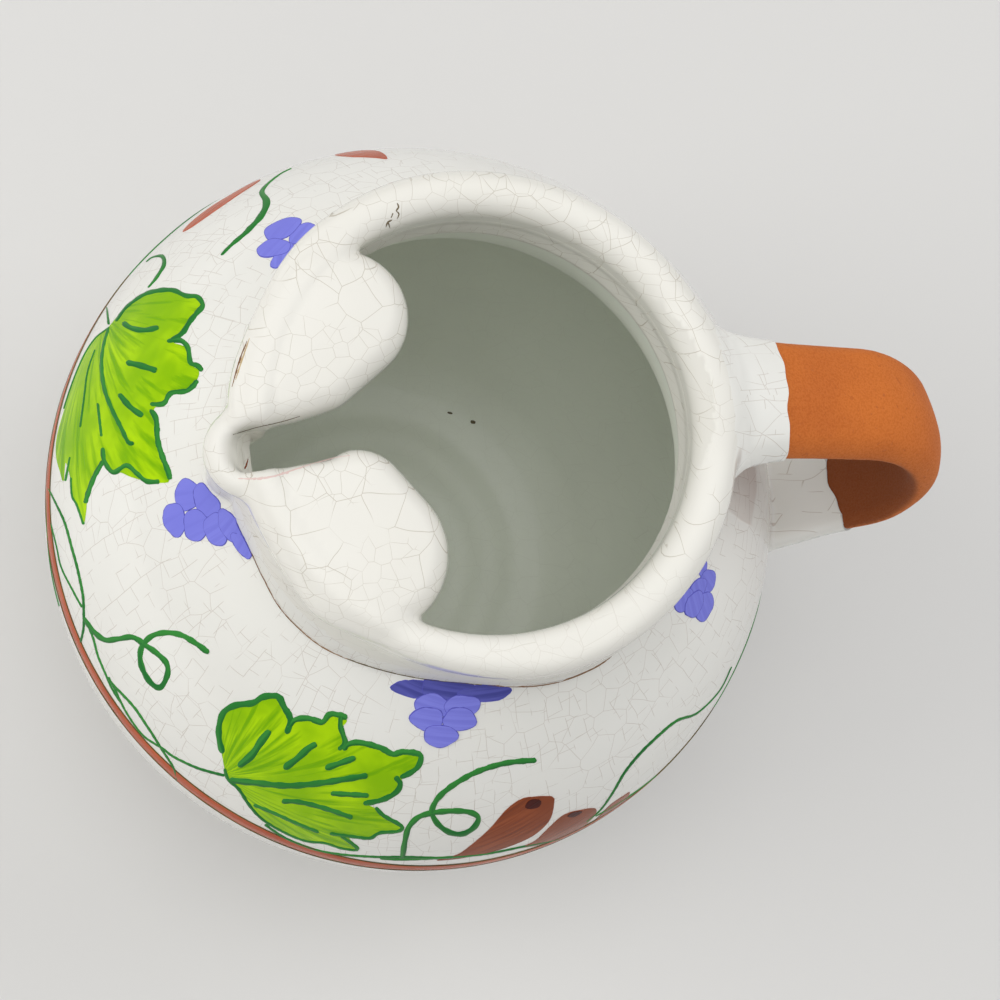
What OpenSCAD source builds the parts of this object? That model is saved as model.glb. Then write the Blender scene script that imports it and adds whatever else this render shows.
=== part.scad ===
// Hand-thrown earthenware pitcher with an ice-guard mouth: a round white-glazed belly,
// a rolled rim pressed into two lobes beside a narrow pouring slot, and a strap handle.
// The handle points along +X, the pouring lip along -X, and the foot stands on z = 0.

/* [Body] */
// widest diameter of the glazed belly
belly_d = 172; // [140:1:220]
// height of the widest line above the table
belly_h = 80; // [65:1:100]
// diameter of the flat foot
base_d = 104; // [80:1:130]
// height of the rim above the table
total_h = 170; // [155:1:200]
// how far the rim stands above the point where the shoulder would close over
neck_rise = 14; // [8:1:22]
// wall thickness, glaze included
wall = 6; // [4.5:0.5:8]
// thickness of the floor, glaze included
floor_t = 8; // [6:0.5:12]
// thickness of the white glaze
glaze_t = 0.6; // [0.4:0.1:1]
// bare band of clay left above the table
bare_foot_h = 5; // [2:0.5:12]

/* [Rim and lobes] */
// outside diameter of the rolled rim
rim_d = 104.8; // [96:0.2:116]
// thickness of the rolled rim
bead_d = 9.6; // [8:0.2:12]
// how far the short neck stands back from the rim's outer edge
neck_step = 2.4; // [1:0.2:4]
// width of the pouring slot at its outer end
slot_w = 7; // [5:0.5:9]
// thickness of the lip round the end of the slot
lip_t = 6.3; // [4:0.1:8]
// how much the middle of each lobe swells above its edge
lobe_swell = 1.6; // [0:0.1:4]

/* [Handle] */
// width of the strap
strap_w = 26; // [16:0.5:32]
// thickness of the strap
strap_t = 9; // [6:0.5:12]
// how far the strap stands out past the belly
handle_reach = 28; // [18:1:36]
// height of the middle of the handle's bow
bow_h = 122; // [112:1:132]
// height where the strap meets the belly
root_h = 88; // [76:1:100]
// sideways lean of the strap
handle_lean = 9; // [0:0.5:12]

/* [Painting] */
// thickness of the painted colours
paint_t = 0.25; // [0.15:0.05:0.5]
// width of the stripe round the belly
stripe_w = 5; // [3:0.5:10]
// height of the stripe's middle
stripe_h = 90.5; // [80:0.5:98]

/* [Hidden] */
$fn = 48;
belly_r = belly_d / 2;
base_r = base_d / 2;
neck_r = rim_d / 2 - neck_step;
bead_r = bead_d / 2;
ring_r = rim_d / 2 - bead_r;
bead_z = total_h - bead_r;
neck_top = bead_z - bead_r + 0.4;
neck_wall = neck_r - ring_r + bead_r;
shoulder_rise = total_h - belly_h - neck_rise;
cove_h = 12;
neck_z = neck_top - cove_h;
foot_drop = belly_h / sqrt(1 - pow(base_r / belly_r, 2));
shoulder_a = acos((neck_r + 3) / belly_r);
lobe_r = (total_h - 0.4 - neck_top) / 2;
lobe_z = neck_top + lobe_r;
slot_y = -1.5;
lip_r = slot_w / 2 + lip_t;
lip_c = [-(ring_r - 2), slot_y];
lip_z = neck_z + 1;
right_arc = [126, 171];
left_arc = [-122, -168];
bow_r = min(31, bow_h - root_h - 2);
bow_c = [belly_r + handle_reach - strap_t / 2 - bow_r, bow_h];
lean_z = total_h - 17.3;
top_pin = [ring_r, bead_z - 0.5];
low_pin = [belly_r - wall / 2, root_h];
top_v = top_pin - bow_c;
low_v = low_pin - bow_c;
top_a = atan2(top_v[1], top_v[0]) - acos(bow_r / norm(top_v));
low_a = atan2(low_v[1], low_v[0]) + acos(bow_r / norm(low_v));
coat_t = 0.7;
top_coat_run = 18;
low_coat_run = 15;
coat_spread = 4.5;
drawing_scale = belly_d / 172;
run_lap = 0.8;
run_ease = 0.03;
leaf_a = shoulder_a * 0.6;
grape_a = shoulder_a - 3;
petal_a = 20;
tendril_a = shoulder_a * 0.64;
vine_rise = 3.4;
vine_w = 1.2;
vine_turns = 12;
paint_ease = 0.03;
ring_start = 11;
ring_sweep = 328;
field_z = stripe_h + stripe_w / 2 + vine_rise + 2 * vine_w;

// Which piece to draw

// Curve of the pot wall from the foot to the neck, moved outwards by "out"
function ellipse_pt(a, b, t) = [a * cos(t), belly_h + b * sin(t)];
function low_start(out, z) = -asin(min(1, (belly_h - z) / (foot_drop + out)));
function low_curve(out, z) = [
    for (i = [0 : 20])
        ellipse_pt(belly_r + out, foot_drop + out, low_start(out, z) * (1 - i / 20))
];
function high_curve(out) = [
    for (i = [1 : 20]) ellipse_pt(belly_r + out, shoulder_rise + out, shoulder_a * i / 20)
];
function bez(a, b, c, d, u) =
    a * pow(1 - u, 3) + 3 * b * u * pow(1 - u, 2) + 3 * c * u * u * (1 - u) + d * pow(u, 3);
function cove_curve(out, neck_out) =
    let (
        s = ellipse_pt(belly_r + out, shoulder_rise + out, shoulder_a),
        dir = [-(belly_r + out) * sin(shoulder_a), (shoulder_rise + out) * cos(shoulder_a)],
        n = [neck_r + neck_out, neck_z - 2]
    )
    [for (i = [1 : 8]) bez(s, s + 2.5 * dir / norm(dir), n - [0, 3], n, i / 8)];
function wall_curve(out, neck_out, z) = concat(
    low_curve(out, z), high_curve(out), cove_curve(out, neck_out), [[neck_r + neck_out, neck_top]]
);
function turned(list) = [for (i = [len(list) - 1 : -1 : 0]) list[i]];

// Whole pot as a solid of revolution with no hollow, as far as the rim's top
module pot_solid(out) {
    rotate_extrude()
        polygon(concat([[0, 0]], wall_curve(out, out, 0), [[0, neck_top]]));
    rim_ring(360);
}

module rim_ring(sweep) {
    rotate_extrude(angle = sweep) rim_section();
}

module rim_section() {
    intersection() {
        translate([ring_r, bead_z]) circle(r = bead_r);
        translate([0, neck_top]) square([2 * ring_r, 3 * bead_r]);
    }
    translate([neck_r - neck_wall, neck_top]) square([neck_wall, bead_r]);
}

// Space that the pouring lip takes out of the neck and the lobes
module lip_zone() {
    translate([lip_c[0], lip_c[1], lip_z])
        intersection() {
            cylinder(r = lip_r, h = total_h);
            translate([-2 * lip_r, -2 * lip_r, 0]) cube([2 * lip_r, 4 * lip_r, total_h]);
        }
    translate([lip_c[0] - 0.01, slot_y - slot_w / 2, lip_z]) cube([9, slot_w, total_h]);
}

module clay_body() {
    color("#C8703A")
        difference() {
            rotate_extrude()
                polygon(concat(
                    [[0, 0]],
                    wall_curve(-glaze_t, -glaze_t, 0),
                    turned(wall_curve(-wall + glaze_t, -neck_wall + glaze_t, floor_t - glaze_t)),
                    [[0, floor_t - glaze_t]]
                ));
            lip_zone();
        }
}

module outer_glaze() {
    color("#EDEBE5")
        difference() {
            rotate_extrude()
                polygon(concat(
                    wall_curve(0, 0, bare_foot_h),
                    turned(wall_curve(-glaze_t, -glaze_t, bare_foot_h))
                ));
            lip_zone();
            strap();
        }
}

module inner_glaze() {
    color("#D9DAD2")
        difference() {
            rotate_extrude()
                polygon(concat(
                    [[0, floor_t - glaze_t]],
                    wall_curve(-wall + glaze_t, -neck_wall + glaze_t, floor_t - glaze_t),
                    turned(wall_curve(-wall, -neck_wall, floor_t)),
                    [[0, floor_t]]
                ));
            lip_zone();
        }
}

module rolled_rim() {
    color("#F1EFEA")
        rotate([0, 0, left_arc[0]]) rim_ring(right_arc[0] - left_arc[0]);
}

// Round-edged disc of clay, the pad that each lobe is drawn from
module pad(at, r, up) {
    translate([at[0], at[1], lobe_z + up])
        rotate_extrude() {
            translate([0, -lobe_r]) square([max(0.1, r - lobe_r), lobe_r * 2]);
            intersection() {
                translate([max(0.1, r - lobe_r), 0]) circle(r = lobe_r, $fn = 24);
                translate([0, -lobe_r]) square([r + lobe_r, lobe_r * 2]);
            }
        }
}

module lobe(arc, pads) {
    difference() {
        hull() {
            for (i = [0 : 4]) {
                a = arc[0] + (arc[1] - arc[0]) * i / 4;
                translate([ring_r * cos(a), ring_r * sin(a), lobe_z]) sphere(r = lobe_r, $fn = 24);
            }
            for (p = pads) pad([p[0], p[1]] * ring_r, p[2] * ring_r, p[3]);
        }
        lip_zone();
        rotate([0, 0, left_arc[0]])
            rotate_extrude(angle = right_arc[0] - left_arc[0])
                translate([ring_r - bead_r - 0.1, neck_top - 1]) square([2.5 * bead_r, 3 * bead_r]);
    }
}

module right_lobe() {
    color("#F1EFEA")
        lobe(right_arc, [[-0.546, 0.483, 0.284, 0], [-0.62, 0.52, 0.15, lobe_swell]]);
}

module left_lobe() {
    color("#F1EFEA")
        lobe(left_arc, [
            [-0.567, -0.504, 0.33, 0], [-0.578, -0.273, 0.206, 0], [-0.62, -0.50, 0.15, lobe_swell]
        ]);
}

module pouring_lip() {
    color("#F1EFEA")
        intersection() {
            difference() {
                lip_zone();
                translate([lip_c[0], lip_c[1], 0]) cylinder(r = slot_w / 2, h = 2 * total_h);
                translate([lip_c[0], slot_y - slot_w, 0]) cube([12, 2 * slot_w, 2 * total_h]);
            }
            translate([lip_c[0], lip_c[1], 0])
                rotate_extrude() {
                    translate([slot_w / 2, lip_z]) square([lip_t, total_h - lip_t / 2 - 1 - lip_z]);
                    translate([slot_w / 2 + lip_t / 2, total_h - lip_t / 2 - 1]) circle(d = lip_t);
                }
            rotate_extrude()
                polygon([[0, lip_z], [neck_r, lip_z], [ring_r + 2 * lip_r, lip_z + 24], [0, lip_z + 24]]);
        }
}

// Strap section and the three runs that carry it from the rim to the belly
module strap_section(grow) {
    square([strap_t + 2 * grow, strap_w - strap_t], center = true);
    for (s = [-1, 1])
        translate([0, s * (strap_w - strap_t) / 2]) circle(d = strap_t + 2 * grow);
}

module strap_run(at, a, run, grow) {
    translate([at[0], 0, at[1]])
        rotate([0, 90 - a, 0])
            translate([0, 0, -run_lap]) linear_extrude(run + 2 * run_lap) strap_section(grow);
}

module handle_place() {
    translate([0, 0, lean_z]) rotate([-handle_lean, 0, 0]) translate([0, 0, -lean_z]) children();
}

module strap() {
    top_run = sqrt(pow(norm(top_v), 2) - bow_r * bow_r);
    low_run = sqrt(pow(norm(low_v), 2) - bow_r * bow_r);
    t2 = bow_c + bow_r * [cos(low_a), sin(low_a)];
    handle_place() {
        strap_run(top_pin, top_a - 90, top_run, run_ease);
        translate([bow_c[0], 0, bow_c[1]])
            rotate([90, 0, 0]) rotate([0, 0, low_a])
                rotate_extrude(angle = top_a - low_a) translate([bow_r, 0]) strap_section(0);
        strap_run(t2, low_a - 90, low_run, run_ease);
    }
}

module handle_strap() {
    color("#CF6A2B")
        difference() {
            strap();
            pot_solid(-glaze_t);
        }
}

// Glaze and smoothed slip over the strap's two ends, wider where they spread onto the pot
module root_coat(at, a, run, spread) {
    hull() {
        strap_run(at, a, 0.5, coat_t);
        for (s = [-1, 1])
            translate([at[0], s * spread, at[1]])
                rotate([0, 90 - a, 0]) translate([0, 0, run]) sphere(d = strap_t + 2 * coat_t, $fn = 24);
    }
}

module upper_handle_glaze() {
    color("#EDEBE5")
        difference() {
            handle_place() {
                p = top_pin + top_coat_run * [sin(top_a), -cos(top_a)];
                root_coat(p, top_a + 90, top_coat_run, strap_w / 2 - strap_t / 2 + coat_spread);
            }
            strap();
            pot_solid(0);
        }
}

module lower_handle_glaze() {
    color("#EDEBE5")
        difference() {
            handle_place() {
                p = low_pin + low_coat_run * [-sin(low_a), cos(low_a)];
                root_coat(p, low_a - 90, low_coat_run, strap_w / 2 - strap_t / 2 + coat_spread);
            }
            strap();
            pot_solid(0);
        }
}

// Thin skin of colour all over the belly; each painted piece is cut out of it
module paint_skin() {
    rotate_extrude()
        polygon(concat(
            wall_curve(paint_t, paint_t, bare_foot_h),
            turned(wall_curve(paint_ease, paint_ease, bare_foot_h))
        ));
}

// The part of that skin above the stripe and its vine
module paint_field() {
    intersection() {
        paint_skin();
        translate([0, 0, field_z]) cylinder(r = belly_d, h = total_h);
    }
}

// Stand a flat drawing on the belly: x runs round the pot, y up the wall
module on_belly(round_a, up_a) {
    lean = atan2(belly_r * sin(up_a), shoulder_rise * cos(up_a));
    p = ellipse_pt(belly_r, shoulder_rise, up_a);
    rotate([0, 0, round_a])
        translate([p[0], 0, p[1]])
            rotate([0, -lean, 0]) rotate([90, 0, 90])
                translate([0, 0, -10]) linear_extrude(13) scale(drawing_scale) children();
}

// The stripe and its vine leave out the handle's lower end
module belly_stripe() {
    color("#B5563F")
        intersection() {
            paint_skin();
            rotate([0, 0, ring_start])
                rotate_extrude(angle = ring_sweep)
                    translate([belly_r / 2, stripe_h - stripe_w / 2]) square([belly_r, stripe_w]);
        }
}

// Thin green stem that winds along the stripe
function vine_up(u, side) =
    let (wave = vine_rise * (1 - cos(vine_turns * 360 * u)) / 2)
    asin((field_z - vine_w - vine_rise + wave + side * vine_w / 2 - belly_h) / shoulder_rise);
function vine_pt(u, side, out) =
    let (
        p = ellipse_pt(belly_r + out, shoulder_rise + out, vine_up(u, side)),
        a = ring_start + ring_sweep * u
    )
    [p[0] * cos(a), p[0] * sin(a), p[1]];

module painted_vine() {
    n = 240;
    color("#1F7A33")
        polyhedron(
            points = [
                for (i = [0 : n])
                    for (c = [[-1, paint_ease], [1, paint_ease], [1, paint_t], [-1, paint_t]])
                        vine_pt(i / n, c[0], c[1])
            ],
            faces = concat(
                [[0, 1, 2], [0, 2, 3], [4 * n + 2, 4 * n + 1, 4 * n], [4 * n + 3, 4 * n + 2, 4 * n]],
                [
                    for (i = [0 : n - 1])
                        for (k = [0 : 3])
                            let (a = 4 * i + k, b = 4 * i + (k + 1) % 4)
                            for (f = [[b, a, b + 4], [b + 4, a, a + 4]]) f
                ]
            )
        );
}

// Outlines of the two vine leaves, stalk end first
left_leaf = [
    [-24, -22], [-26, -1], [-21, 17], [-10, 14], [-4, 27], [-1, 26], [5, 15], [20, 20], [21, 13],
    [15, -1], [29, -11], [14, -21], [-12, -29]
];
front_leaf = [
    [-18, -13], [-25, 2], [-23, 8], [-15, 16], [-10, 9], [-1, 20], [2, 12], [17, 16], [15, 8],
    [22, -8], [15, -21], [-4, -20]
];

module painted_leaves() {
    color("#7DB916")
        intersection() {
            paint_field();
            union() {
                on_belly(160, leaf_a - 1) polygon(left_leaf);
                on_belly(-120, leaf_a) polygon(front_leaf);
            }
        }
}

module grape_bunch() {
    for (p = [[0, -6.5], [-4.6, -1.5], [4.6, -1.5], [0, 1.5], [-6, 5], [6, 5], [0, 7.5]])
        translate(p) circle(r = 3.7, $fn = 32);
}

module painted_grapes() {
    color("#6A66D6")
        intersection() {
            paint_field();
            union() {
                for (a = [121, 188, 258, 323, 42]) on_belly(a, grape_a) grape_bunch();
            }
        }
}

// Long brick-red leaf, pointed at the stem and round at the tip
function petal(l, w) = [
    for (i = [0 : 23])
        let (u = 15 * i, k = (1 - cos(u)) / 2) [l * k, w * sin(u) * pow(k, 0.6) / 2]
];

module petal_fan() {
    translate([-20, -9]) rotate(40) polygon(petal(28, 10));
    translate([-2, -9]) rotate(25) polygon(petal(20, 7));
    translate([13, -9]) rotate(20) polygon(petal(16, 6));
}

module painted_petals() {
    color("#8A3B2B")
        intersection() {
            paint_field();
            union() {
                on_belly(-79, petal_a) petal_fan();
                on_belly(110, petal_a + 3) mirror([1, 0]) petal_fan();
            }
        }
}

// Curled green stroke of even width
function curl(u) = [24 * u - 12, 9 * sin(300 * u) + 10 * u * u - 4];
function curl_side(u, w) =
    let (d = curl(u + 0.01) - curl(u - 0.01)) curl(u) + w * [-d[1], d[0]] / norm(d);

module tendril() {
    polygon(concat(
        [for (i = [0 : 18]) curl_side(i / 18, 0.7)], [for (i = [18 : -1 : 0]) curl_side(i / 18, -0.7)]
    ));
}

module painted_tendrils() {
    color("#2F8A2F")
        intersection() {
            paint_field();
            union() {
                for (a = [-154, -94, -60]) on_belly(a, tendril_a) tendril();
                on_belly(128, tendril_a) mirror([1, 0]) tendril();
            }
        }
}

clay_body();
outer_glaze();
inner_glaze();
rolled_rim();
right_lobe();
left_lobe();
pouring_lip();
handle_strap();
upper_handle_glaze();
lower_handle_glaze();
belly_stripe();
painted_vine();
painted_leaves();
painted_grapes();
painted_petals();
painted_tendrils();
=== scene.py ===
"""Looks of the ice-guard pitcher: crackled white glaze, bare clay strap handle, painted grapevine."""

import math

import bmesh
import bpy
import numpy as np
from mathutils import Matrix, Vector
from mathutils.bvhtree import BVHTree
from mathutils.geometry import delaunay_2d_cdt


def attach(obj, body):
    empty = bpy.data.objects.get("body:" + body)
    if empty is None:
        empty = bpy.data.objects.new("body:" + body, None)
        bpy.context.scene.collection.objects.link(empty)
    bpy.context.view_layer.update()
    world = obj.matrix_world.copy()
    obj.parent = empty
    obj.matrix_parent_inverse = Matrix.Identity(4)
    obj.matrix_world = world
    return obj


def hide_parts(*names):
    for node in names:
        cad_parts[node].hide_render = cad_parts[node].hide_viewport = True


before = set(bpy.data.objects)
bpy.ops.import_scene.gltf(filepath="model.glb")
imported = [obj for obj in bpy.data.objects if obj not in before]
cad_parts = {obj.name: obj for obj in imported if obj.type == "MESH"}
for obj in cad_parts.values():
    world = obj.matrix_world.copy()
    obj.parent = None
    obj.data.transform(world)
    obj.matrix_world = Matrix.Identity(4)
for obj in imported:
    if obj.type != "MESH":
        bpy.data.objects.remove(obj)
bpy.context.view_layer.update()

# Sizes in millimetres, the same as the part's source
MM = 0.001
BELLY_R = 86.0
BELLY_H = 80.0
BASE_R = 52.0
TOTAL_H = 170.0
SHOULDER_RISE = 76.0
NECK_R = 50.0
WALL = 6.0
NECK_WALL = 7.2
FLOOR_T = 8.0
BARE_FOOT_H = 5.0
BEAD_R = 4.8
RING_R = 47.6
BEAD_Z = TOTAL_H - BEAD_R
NECK_TOP = BEAD_Z - BEAD_R + 0.4
SLOT_Y = -1.5
SLOT_R = 3.5
SLOT_END_R = 4.4
LIP_X = -46.8
STRAP_W = 26.0
STRAP_T = 9.0
BOW_R = 31.0
HANDLE_REACH = 28.0
BOW_C = np.array([BELLY_R + HANDLE_REACH - STRAP_T / 2.0 - BOW_R, 122.0])
ROOT_H = 88.0
HANDLE_LEAN = math.radians(9.0)
LEAN_Z = TOTAL_H - 17.3
GLAZE_T = 0.6
BARE_STEP = 0.5
STRIPE_H = 90.5
STRIPE_W = 5.0

# Photograph's camera: right, down and forward in the part's frame, and its place
CAM_RIGHT = np.array([0.96667, -0.14384, 0.21180])
CAM_DOWN = np.array([-0.10066, -0.97416, -0.20217])
CAM_AHEAD = np.array([0.23541, 0.17411, -0.95617])
CAM_PLACE = np.array([-92.37, -84.75, 542.79])
CAM_FOCAL_PX = 2000.0
FRAME_MIDDLE_PX = 500.0


# Pot wall: points along the arcs and along the turn into the neck, and how far the neck's line runs on
ARC_STEPS = 160
COVE_STEPS = 40
NECK_RUN_ON = 20.0


def wall_curve(out, neck_out, lap, top, reach, fall):
    """Radius and height along the wall, moved outwards, from the table to the neck's top.

    The shoulder ends lap outside the neck and turns into it below the height top. The turn leaves
    the shoulder by reach and meets the neck from fall, a radius and a height off its end.
    """
    foot_drop = BELLY_H / math.sqrt(1.0 - (BASE_R / BELLY_R) ** 2)
    shoulder = math.acos((NECK_R + lap) / BELLY_R)
    low = np.linspace(-math.asin(min(1.0, BELLY_H / (foot_drop + out))), 0.0, ARC_STEPS)
    high = np.linspace(0.0, shoulder, ARC_STEPS)[1:]
    r = np.concatenate([(BELLY_R + out) * np.cos(low), (BELLY_R + out) * np.cos(high)])
    z = np.concatenate([
        BELLY_H + (foot_drop + out) * np.sin(low),
        BELLY_H + (SHOULDER_RISE + out) * np.sin(high),
    ])
    start = np.array([r[-1], z[-1]])
    along = np.array([
        -(BELLY_R + out) * math.sin(shoulder),
        (SHOULDER_RISE + out) * math.cos(shoulder),
    ])
    end = np.array([NECK_R + neck_out, top])
    a, b = start + reach * along / np.hypot(*along), end + np.array(fall)
    u = np.linspace(0.0, 1.0, COVE_STEPS)[1:, None]
    cove = start * (1 - u) ** 3 + 3 * a * u * (1 - u) ** 2 + 3 * b * u * u * (1 - u) + end * u**3
    neck = np.array([[end[0], NECK_TOP + NECK_RUN_ON]])
    return np.concatenate([np.stack([r, z], 1), cove, neck])


OUTSIDE = wall_curve(out=0.0, neck_out=0.0, lap=0.8, top=143.6, reach=1.0, fall=(0.0, -1.0))
INSIDE = wall_curve(out=-WALL, neck_out=-NECK_WALL, lap=3.0, top=155.8, reach=3.0, fall=(2.2, -6.0))


def wall_lean(curve):
    """Cosine of the wall's slope, which turns a level distance into one square to the wall."""
    slope = np.gradient(curve[:, 0], curve[:, 1])
    return 1.0 / np.sqrt(1.0 + slope**2)


OUTSIDE_LEAN = wall_lean(OUTSIDE)
INSIDE_LEAN = wall_lean(INSIDE)


def beyond_wall(r, z, curve, lean):
    """Distance outside the wall's curve, square to it."""
    return (r - np.interp(z, curve[:, 1], curve[:, 0])) * np.interp(z, curve[:, 1], lean)


# Shapes as distance fields: negative inside the clay, in millimetres

def soft_join(a, b, k):
    """The smaller of two fields, with the corner between them filled."""
    h = np.maximum(k - np.abs(a - b), 0.0) / k
    return np.minimum(a, b) - h * h * k * 0.25


def soft_cut(a, b, k):
    """The first field with the second taken out of it, and a rounded edge."""
    return -soft_join(-a, b, k)


def soft_limit(a, b, k):
    """The larger of two fields, with the corner between them rounded."""
    return -soft_join(-a, -b, k)


def ease(t):
    """A smooth step from nought to one."""
    t = np.clip(t, 0.0, 1.0)
    return t * t * (3.0 - 2.0 * t)


# Each lobe is the outline round a few discs: place and radius
RIGHT_LOBE = [
    (-26.0, 24.0, 13.4), (-31.5, 12.0, 6.8), (-31.8, 31.8, 4.6), (-37.6, 24.8, 4.6),
    (-42.1, 16.2, 4.6), (-44.8, 6.7, 4.6),
]
LEFT_LOBE = [
    (-27.0, -24.0, 15.7), (-27.5, -13.0, 9.8), (-27.4, -36.0, 4.7), (-31.0, -32.9, 4.7),
    (-36.2, -27.0, 4.7), (-41.2, -18.6, 4.7), (-44.3, -9.9, 4.6),
]
LOBE_EDGE_R = 4.5
LOBE_SWELL = 1.75
LOBE_SLOPE = 13.0
LOBE_Z = NECK_TOP + LOBE_EDGE_R


def round_discs(x, y, discs, ways=72):
    """Level distance to the tight outline round a set of discs."""
    far = None
    for a in np.arange(ways) * 2.0 * math.pi / ways:
        nx, ny = math.cos(a), math.sin(a)
        reach = max(nx * cx + ny * cy + r for cx, cy, r in discs)
        d = nx * x + ny * y - reach
        far = d if far is None else np.maximum(far, d)
    return far


def lobe(x, y, z, discs):
    """One pressed-in part of the rim: a round edge that swells a little towards its middle."""
    flat = round_discs(x, y, discs)
    edge = 1.0 + np.clip(flat, -LOBE_SLOPE, 0.0) / LOBE_SLOPE
    middle = LOBE_Z + LOBE_SWELL * (1.0 - edge**2)
    return np.hypot(np.maximum(flat + LOBE_EDGE_R, 0.0), z - middle) - LOBE_EDGE_R


def rod(x, y, z, a, b, r):
    """Distance to a round-ended rod from a to b."""
    d = [q - p for p, q in zip(a, b)]
    t = ((x - a[0]) * d[0] + (y - a[1]) * d[1] + (z - a[2]) * d[2]) / sum(v * v for v in d)
    t = np.clip(t, 0.0, 1.0)
    return np.sqrt(
        (x - a[0] - t * d[0]) ** 2 + (y - a[1] - t * d[1]) ** 2 + (z - a[2] - t * d[2]) ** 2
    ) - r


def sector(turn, start, end, before, after):
    """One between the two angles, easing to nought over some degrees before and after them."""
    return ease((turn - start) / before + 1.0) * ease((end - turn) / after + 1.0)


# The potter's fingers left the rim out of round: angles from the handle, and radius there
TURNS = np.arange(-180.0, 181.0, 2.0)
EVEN_STEPS = 5


def smoothed(turns, radii):
    """The radii at each of TURNS, evened out over a few of them."""
    rough = np.interp(TURNS, turns, radii)
    window = np.hanning(2 * EVEN_STEPS + 1)
    wrapped = np.concatenate([rough[-EVEN_STEPS - 1:-1], rough, rough[1:EVEN_STEPS + 1]])
    return np.convolve(wrapped, window / window.sum(), "valid")


RIM_OUT = smoothed(
    (-180, -166, -130, -114, -100, -84, -70, 100, 112, 124, 131, 138, 146, 153, 167, 180),
    (51.0, 49.7, 49.7, 50.1, 50.8, 52.2, 52.4, 52.4, 52.0, 51.5, 51.3, 50.8, 50.1, 50.2, 51.3, 51.0),
)
WALL_FOOT = smoothed(
    (-180, -170, -162, -155, -146, -132, -124, -114, -100, -90,
     -84, -76, -66, -56, -46, -36, -20, 0, 180),
    (50.0, 50.2, 49.1, 49.8, 51.2, 51.4, 50.3, 49.3, 48.7, 49.9,
     51.0, 52.7, 53.4, 53.5, 54.0, 53.2, 51.0, 50.0, 50.0),
)
WALL_DROP = 22.0

# Where the rim drops as a wall: first and last angle, and the degrees over which it starts and ends
NEAR_WALL = (-166.0, -80.0, 12.0, 40.0)
RIGHT_WALL = (-80.0, -46.0, 40.0, 26.0)
FAR_WALL = (138.0, 170.0, 34.0, 12.0)
WALL_END = 2.0
BEAD_SKIRT = 3.0
UNDERCUT = 1.2
RIGHT_UNDERCUT = 3.0
UNDERCUT_DROP = 6.0
UNDERCUT_H = 10.0
NEAR_SHARPNESS = 1.2
FAR_SHARPNESS = 2.5


def rolled_rim(x, y, z, r):
    """The round rim; beside the lobes its outer side drops as a wall to the shoulder."""
    turn = np.degrees(np.arctan2(y, x))
    near = sector(turn, *NEAR_WALL)
    far = sector(turn, *FAR_WALL)
    right = sector(turn, *RIGHT_WALL)
    walled = np.maximum(np.maximum(near, right), far)
    drop = np.clip(BEAD_Z - z, 0.0, WALL_DROP)
    out = np.interp(turn, TURNS, RIM_OUT)
    out = out + (np.interp(turn, TURNS, WALL_FOOT) - out) * walled * drop / WALL_DROP
    under = UNDERCUT + RIGHT_UNDERCUT * right * (1.0 - near)
    inner = RING_R - BEAD_R + under * ease((drop - UNDERCUT_DROP) / UNDERCUT_H)
    half = 0.5 * (out - inner)
    corner = np.minimum(half, BEAD_R - FAR_SHARPNESS * far - NEAR_SHARPNESS * near)
    across = np.abs(r - 0.5 * (out + inner)) - half + corner
    bottom = BEAD_Z - BEAD_SKIRT - (WALL_DROP - WALL_END) * walled
    level = np.maximum(z - TOTAL_H + corner, bottom - z)
    outer_part = np.hypot(np.maximum(across, 0.0), np.maximum(level, 0.0))
    return outer_part + np.minimum(np.maximum(across, level), 0.0) - corner


# Floor of the slot: distance from the axis towards the lip, and height
SLOT_FLOOR_X = (0.0, 45.2, 46.2, 51.4, 56.0)
SLOT_FLOOR_Z = (141.0, 141.0, 157.0, 167.0, 176.0)
SLOT_INNER_END = (-34.0, SLOT_Y + 0.2, 0.0)

# Where the slot widens towards the lip, over what length, its floor's flattening and its rounded corner
SLOT_WIDENS_X = -42.0
SLOT_WIDENS_L = 4.0
RAMP_FLATTENING = 0.45
SLOT_CORNER = 2.5


def pouring_slot(x, y, z):
    """Channel between the lobes, with a floor that climbs steeply to the lip."""
    half = SLOT_R + (SLOT_END_R - SLOT_R) * ease((SLOT_WIDENS_X - x) / SLOT_WIDENS_L)
    across = rod(x, y, 0.0 * z, (LIP_X, SLOT_Y, 0.0), SLOT_INNER_END, half)
    ramp = np.interp(-x, SLOT_FLOOR_X, SLOT_FLOOR_Z)
    return soft_limit(across, RAMP_FLATTENING * (ramp - z), SLOT_CORNER)


# Lip: a ring round the slot's outer end, over a throat that runs down into the neck
LIP_RING_R = 6.6
LIP_EDGE_R = 2.8
LIP_DROP = 0.4
LIP_BACK = 2.0
LIP_FILLET = 3.0
THROAT_TOP = (-49.8, SLOT_Y, 160.0)
THROAT_LOW = (-48.2, SLOT_Y + 1.2, 141.0)
THROAT_R = 5.5
THROAT_FROM_R = 46.5


def pouring_lip(x, y, z):
    """The beak round the slot's outer end, and the throat below it."""
    ring = np.hypot(np.hypot(x - LIP_X, y - SLOT_Y) - LIP_RING_R, z - BEAD_Z + LIP_DROP) - LIP_EDGE_R
    ring = np.maximum(ring, x - LIP_X - LIP_BACK)
    throat = rod(x, y, z, THROAT_TOP, THROAT_LOW, THROAT_R)
    throat = np.maximum(throat, THROAT_FROM_R - np.hypot(x, y))
    return soft_join(ring, throat, LIP_FILLET)


# Handle: a straight run from the rim, a bow, and a straight run into the belly
TOP_PIN = np.array([RING_R, BEAD_Z - 0.5])
LOW_PIN = np.array([BELLY_R - WALL / 2.0, ROOT_H])


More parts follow.
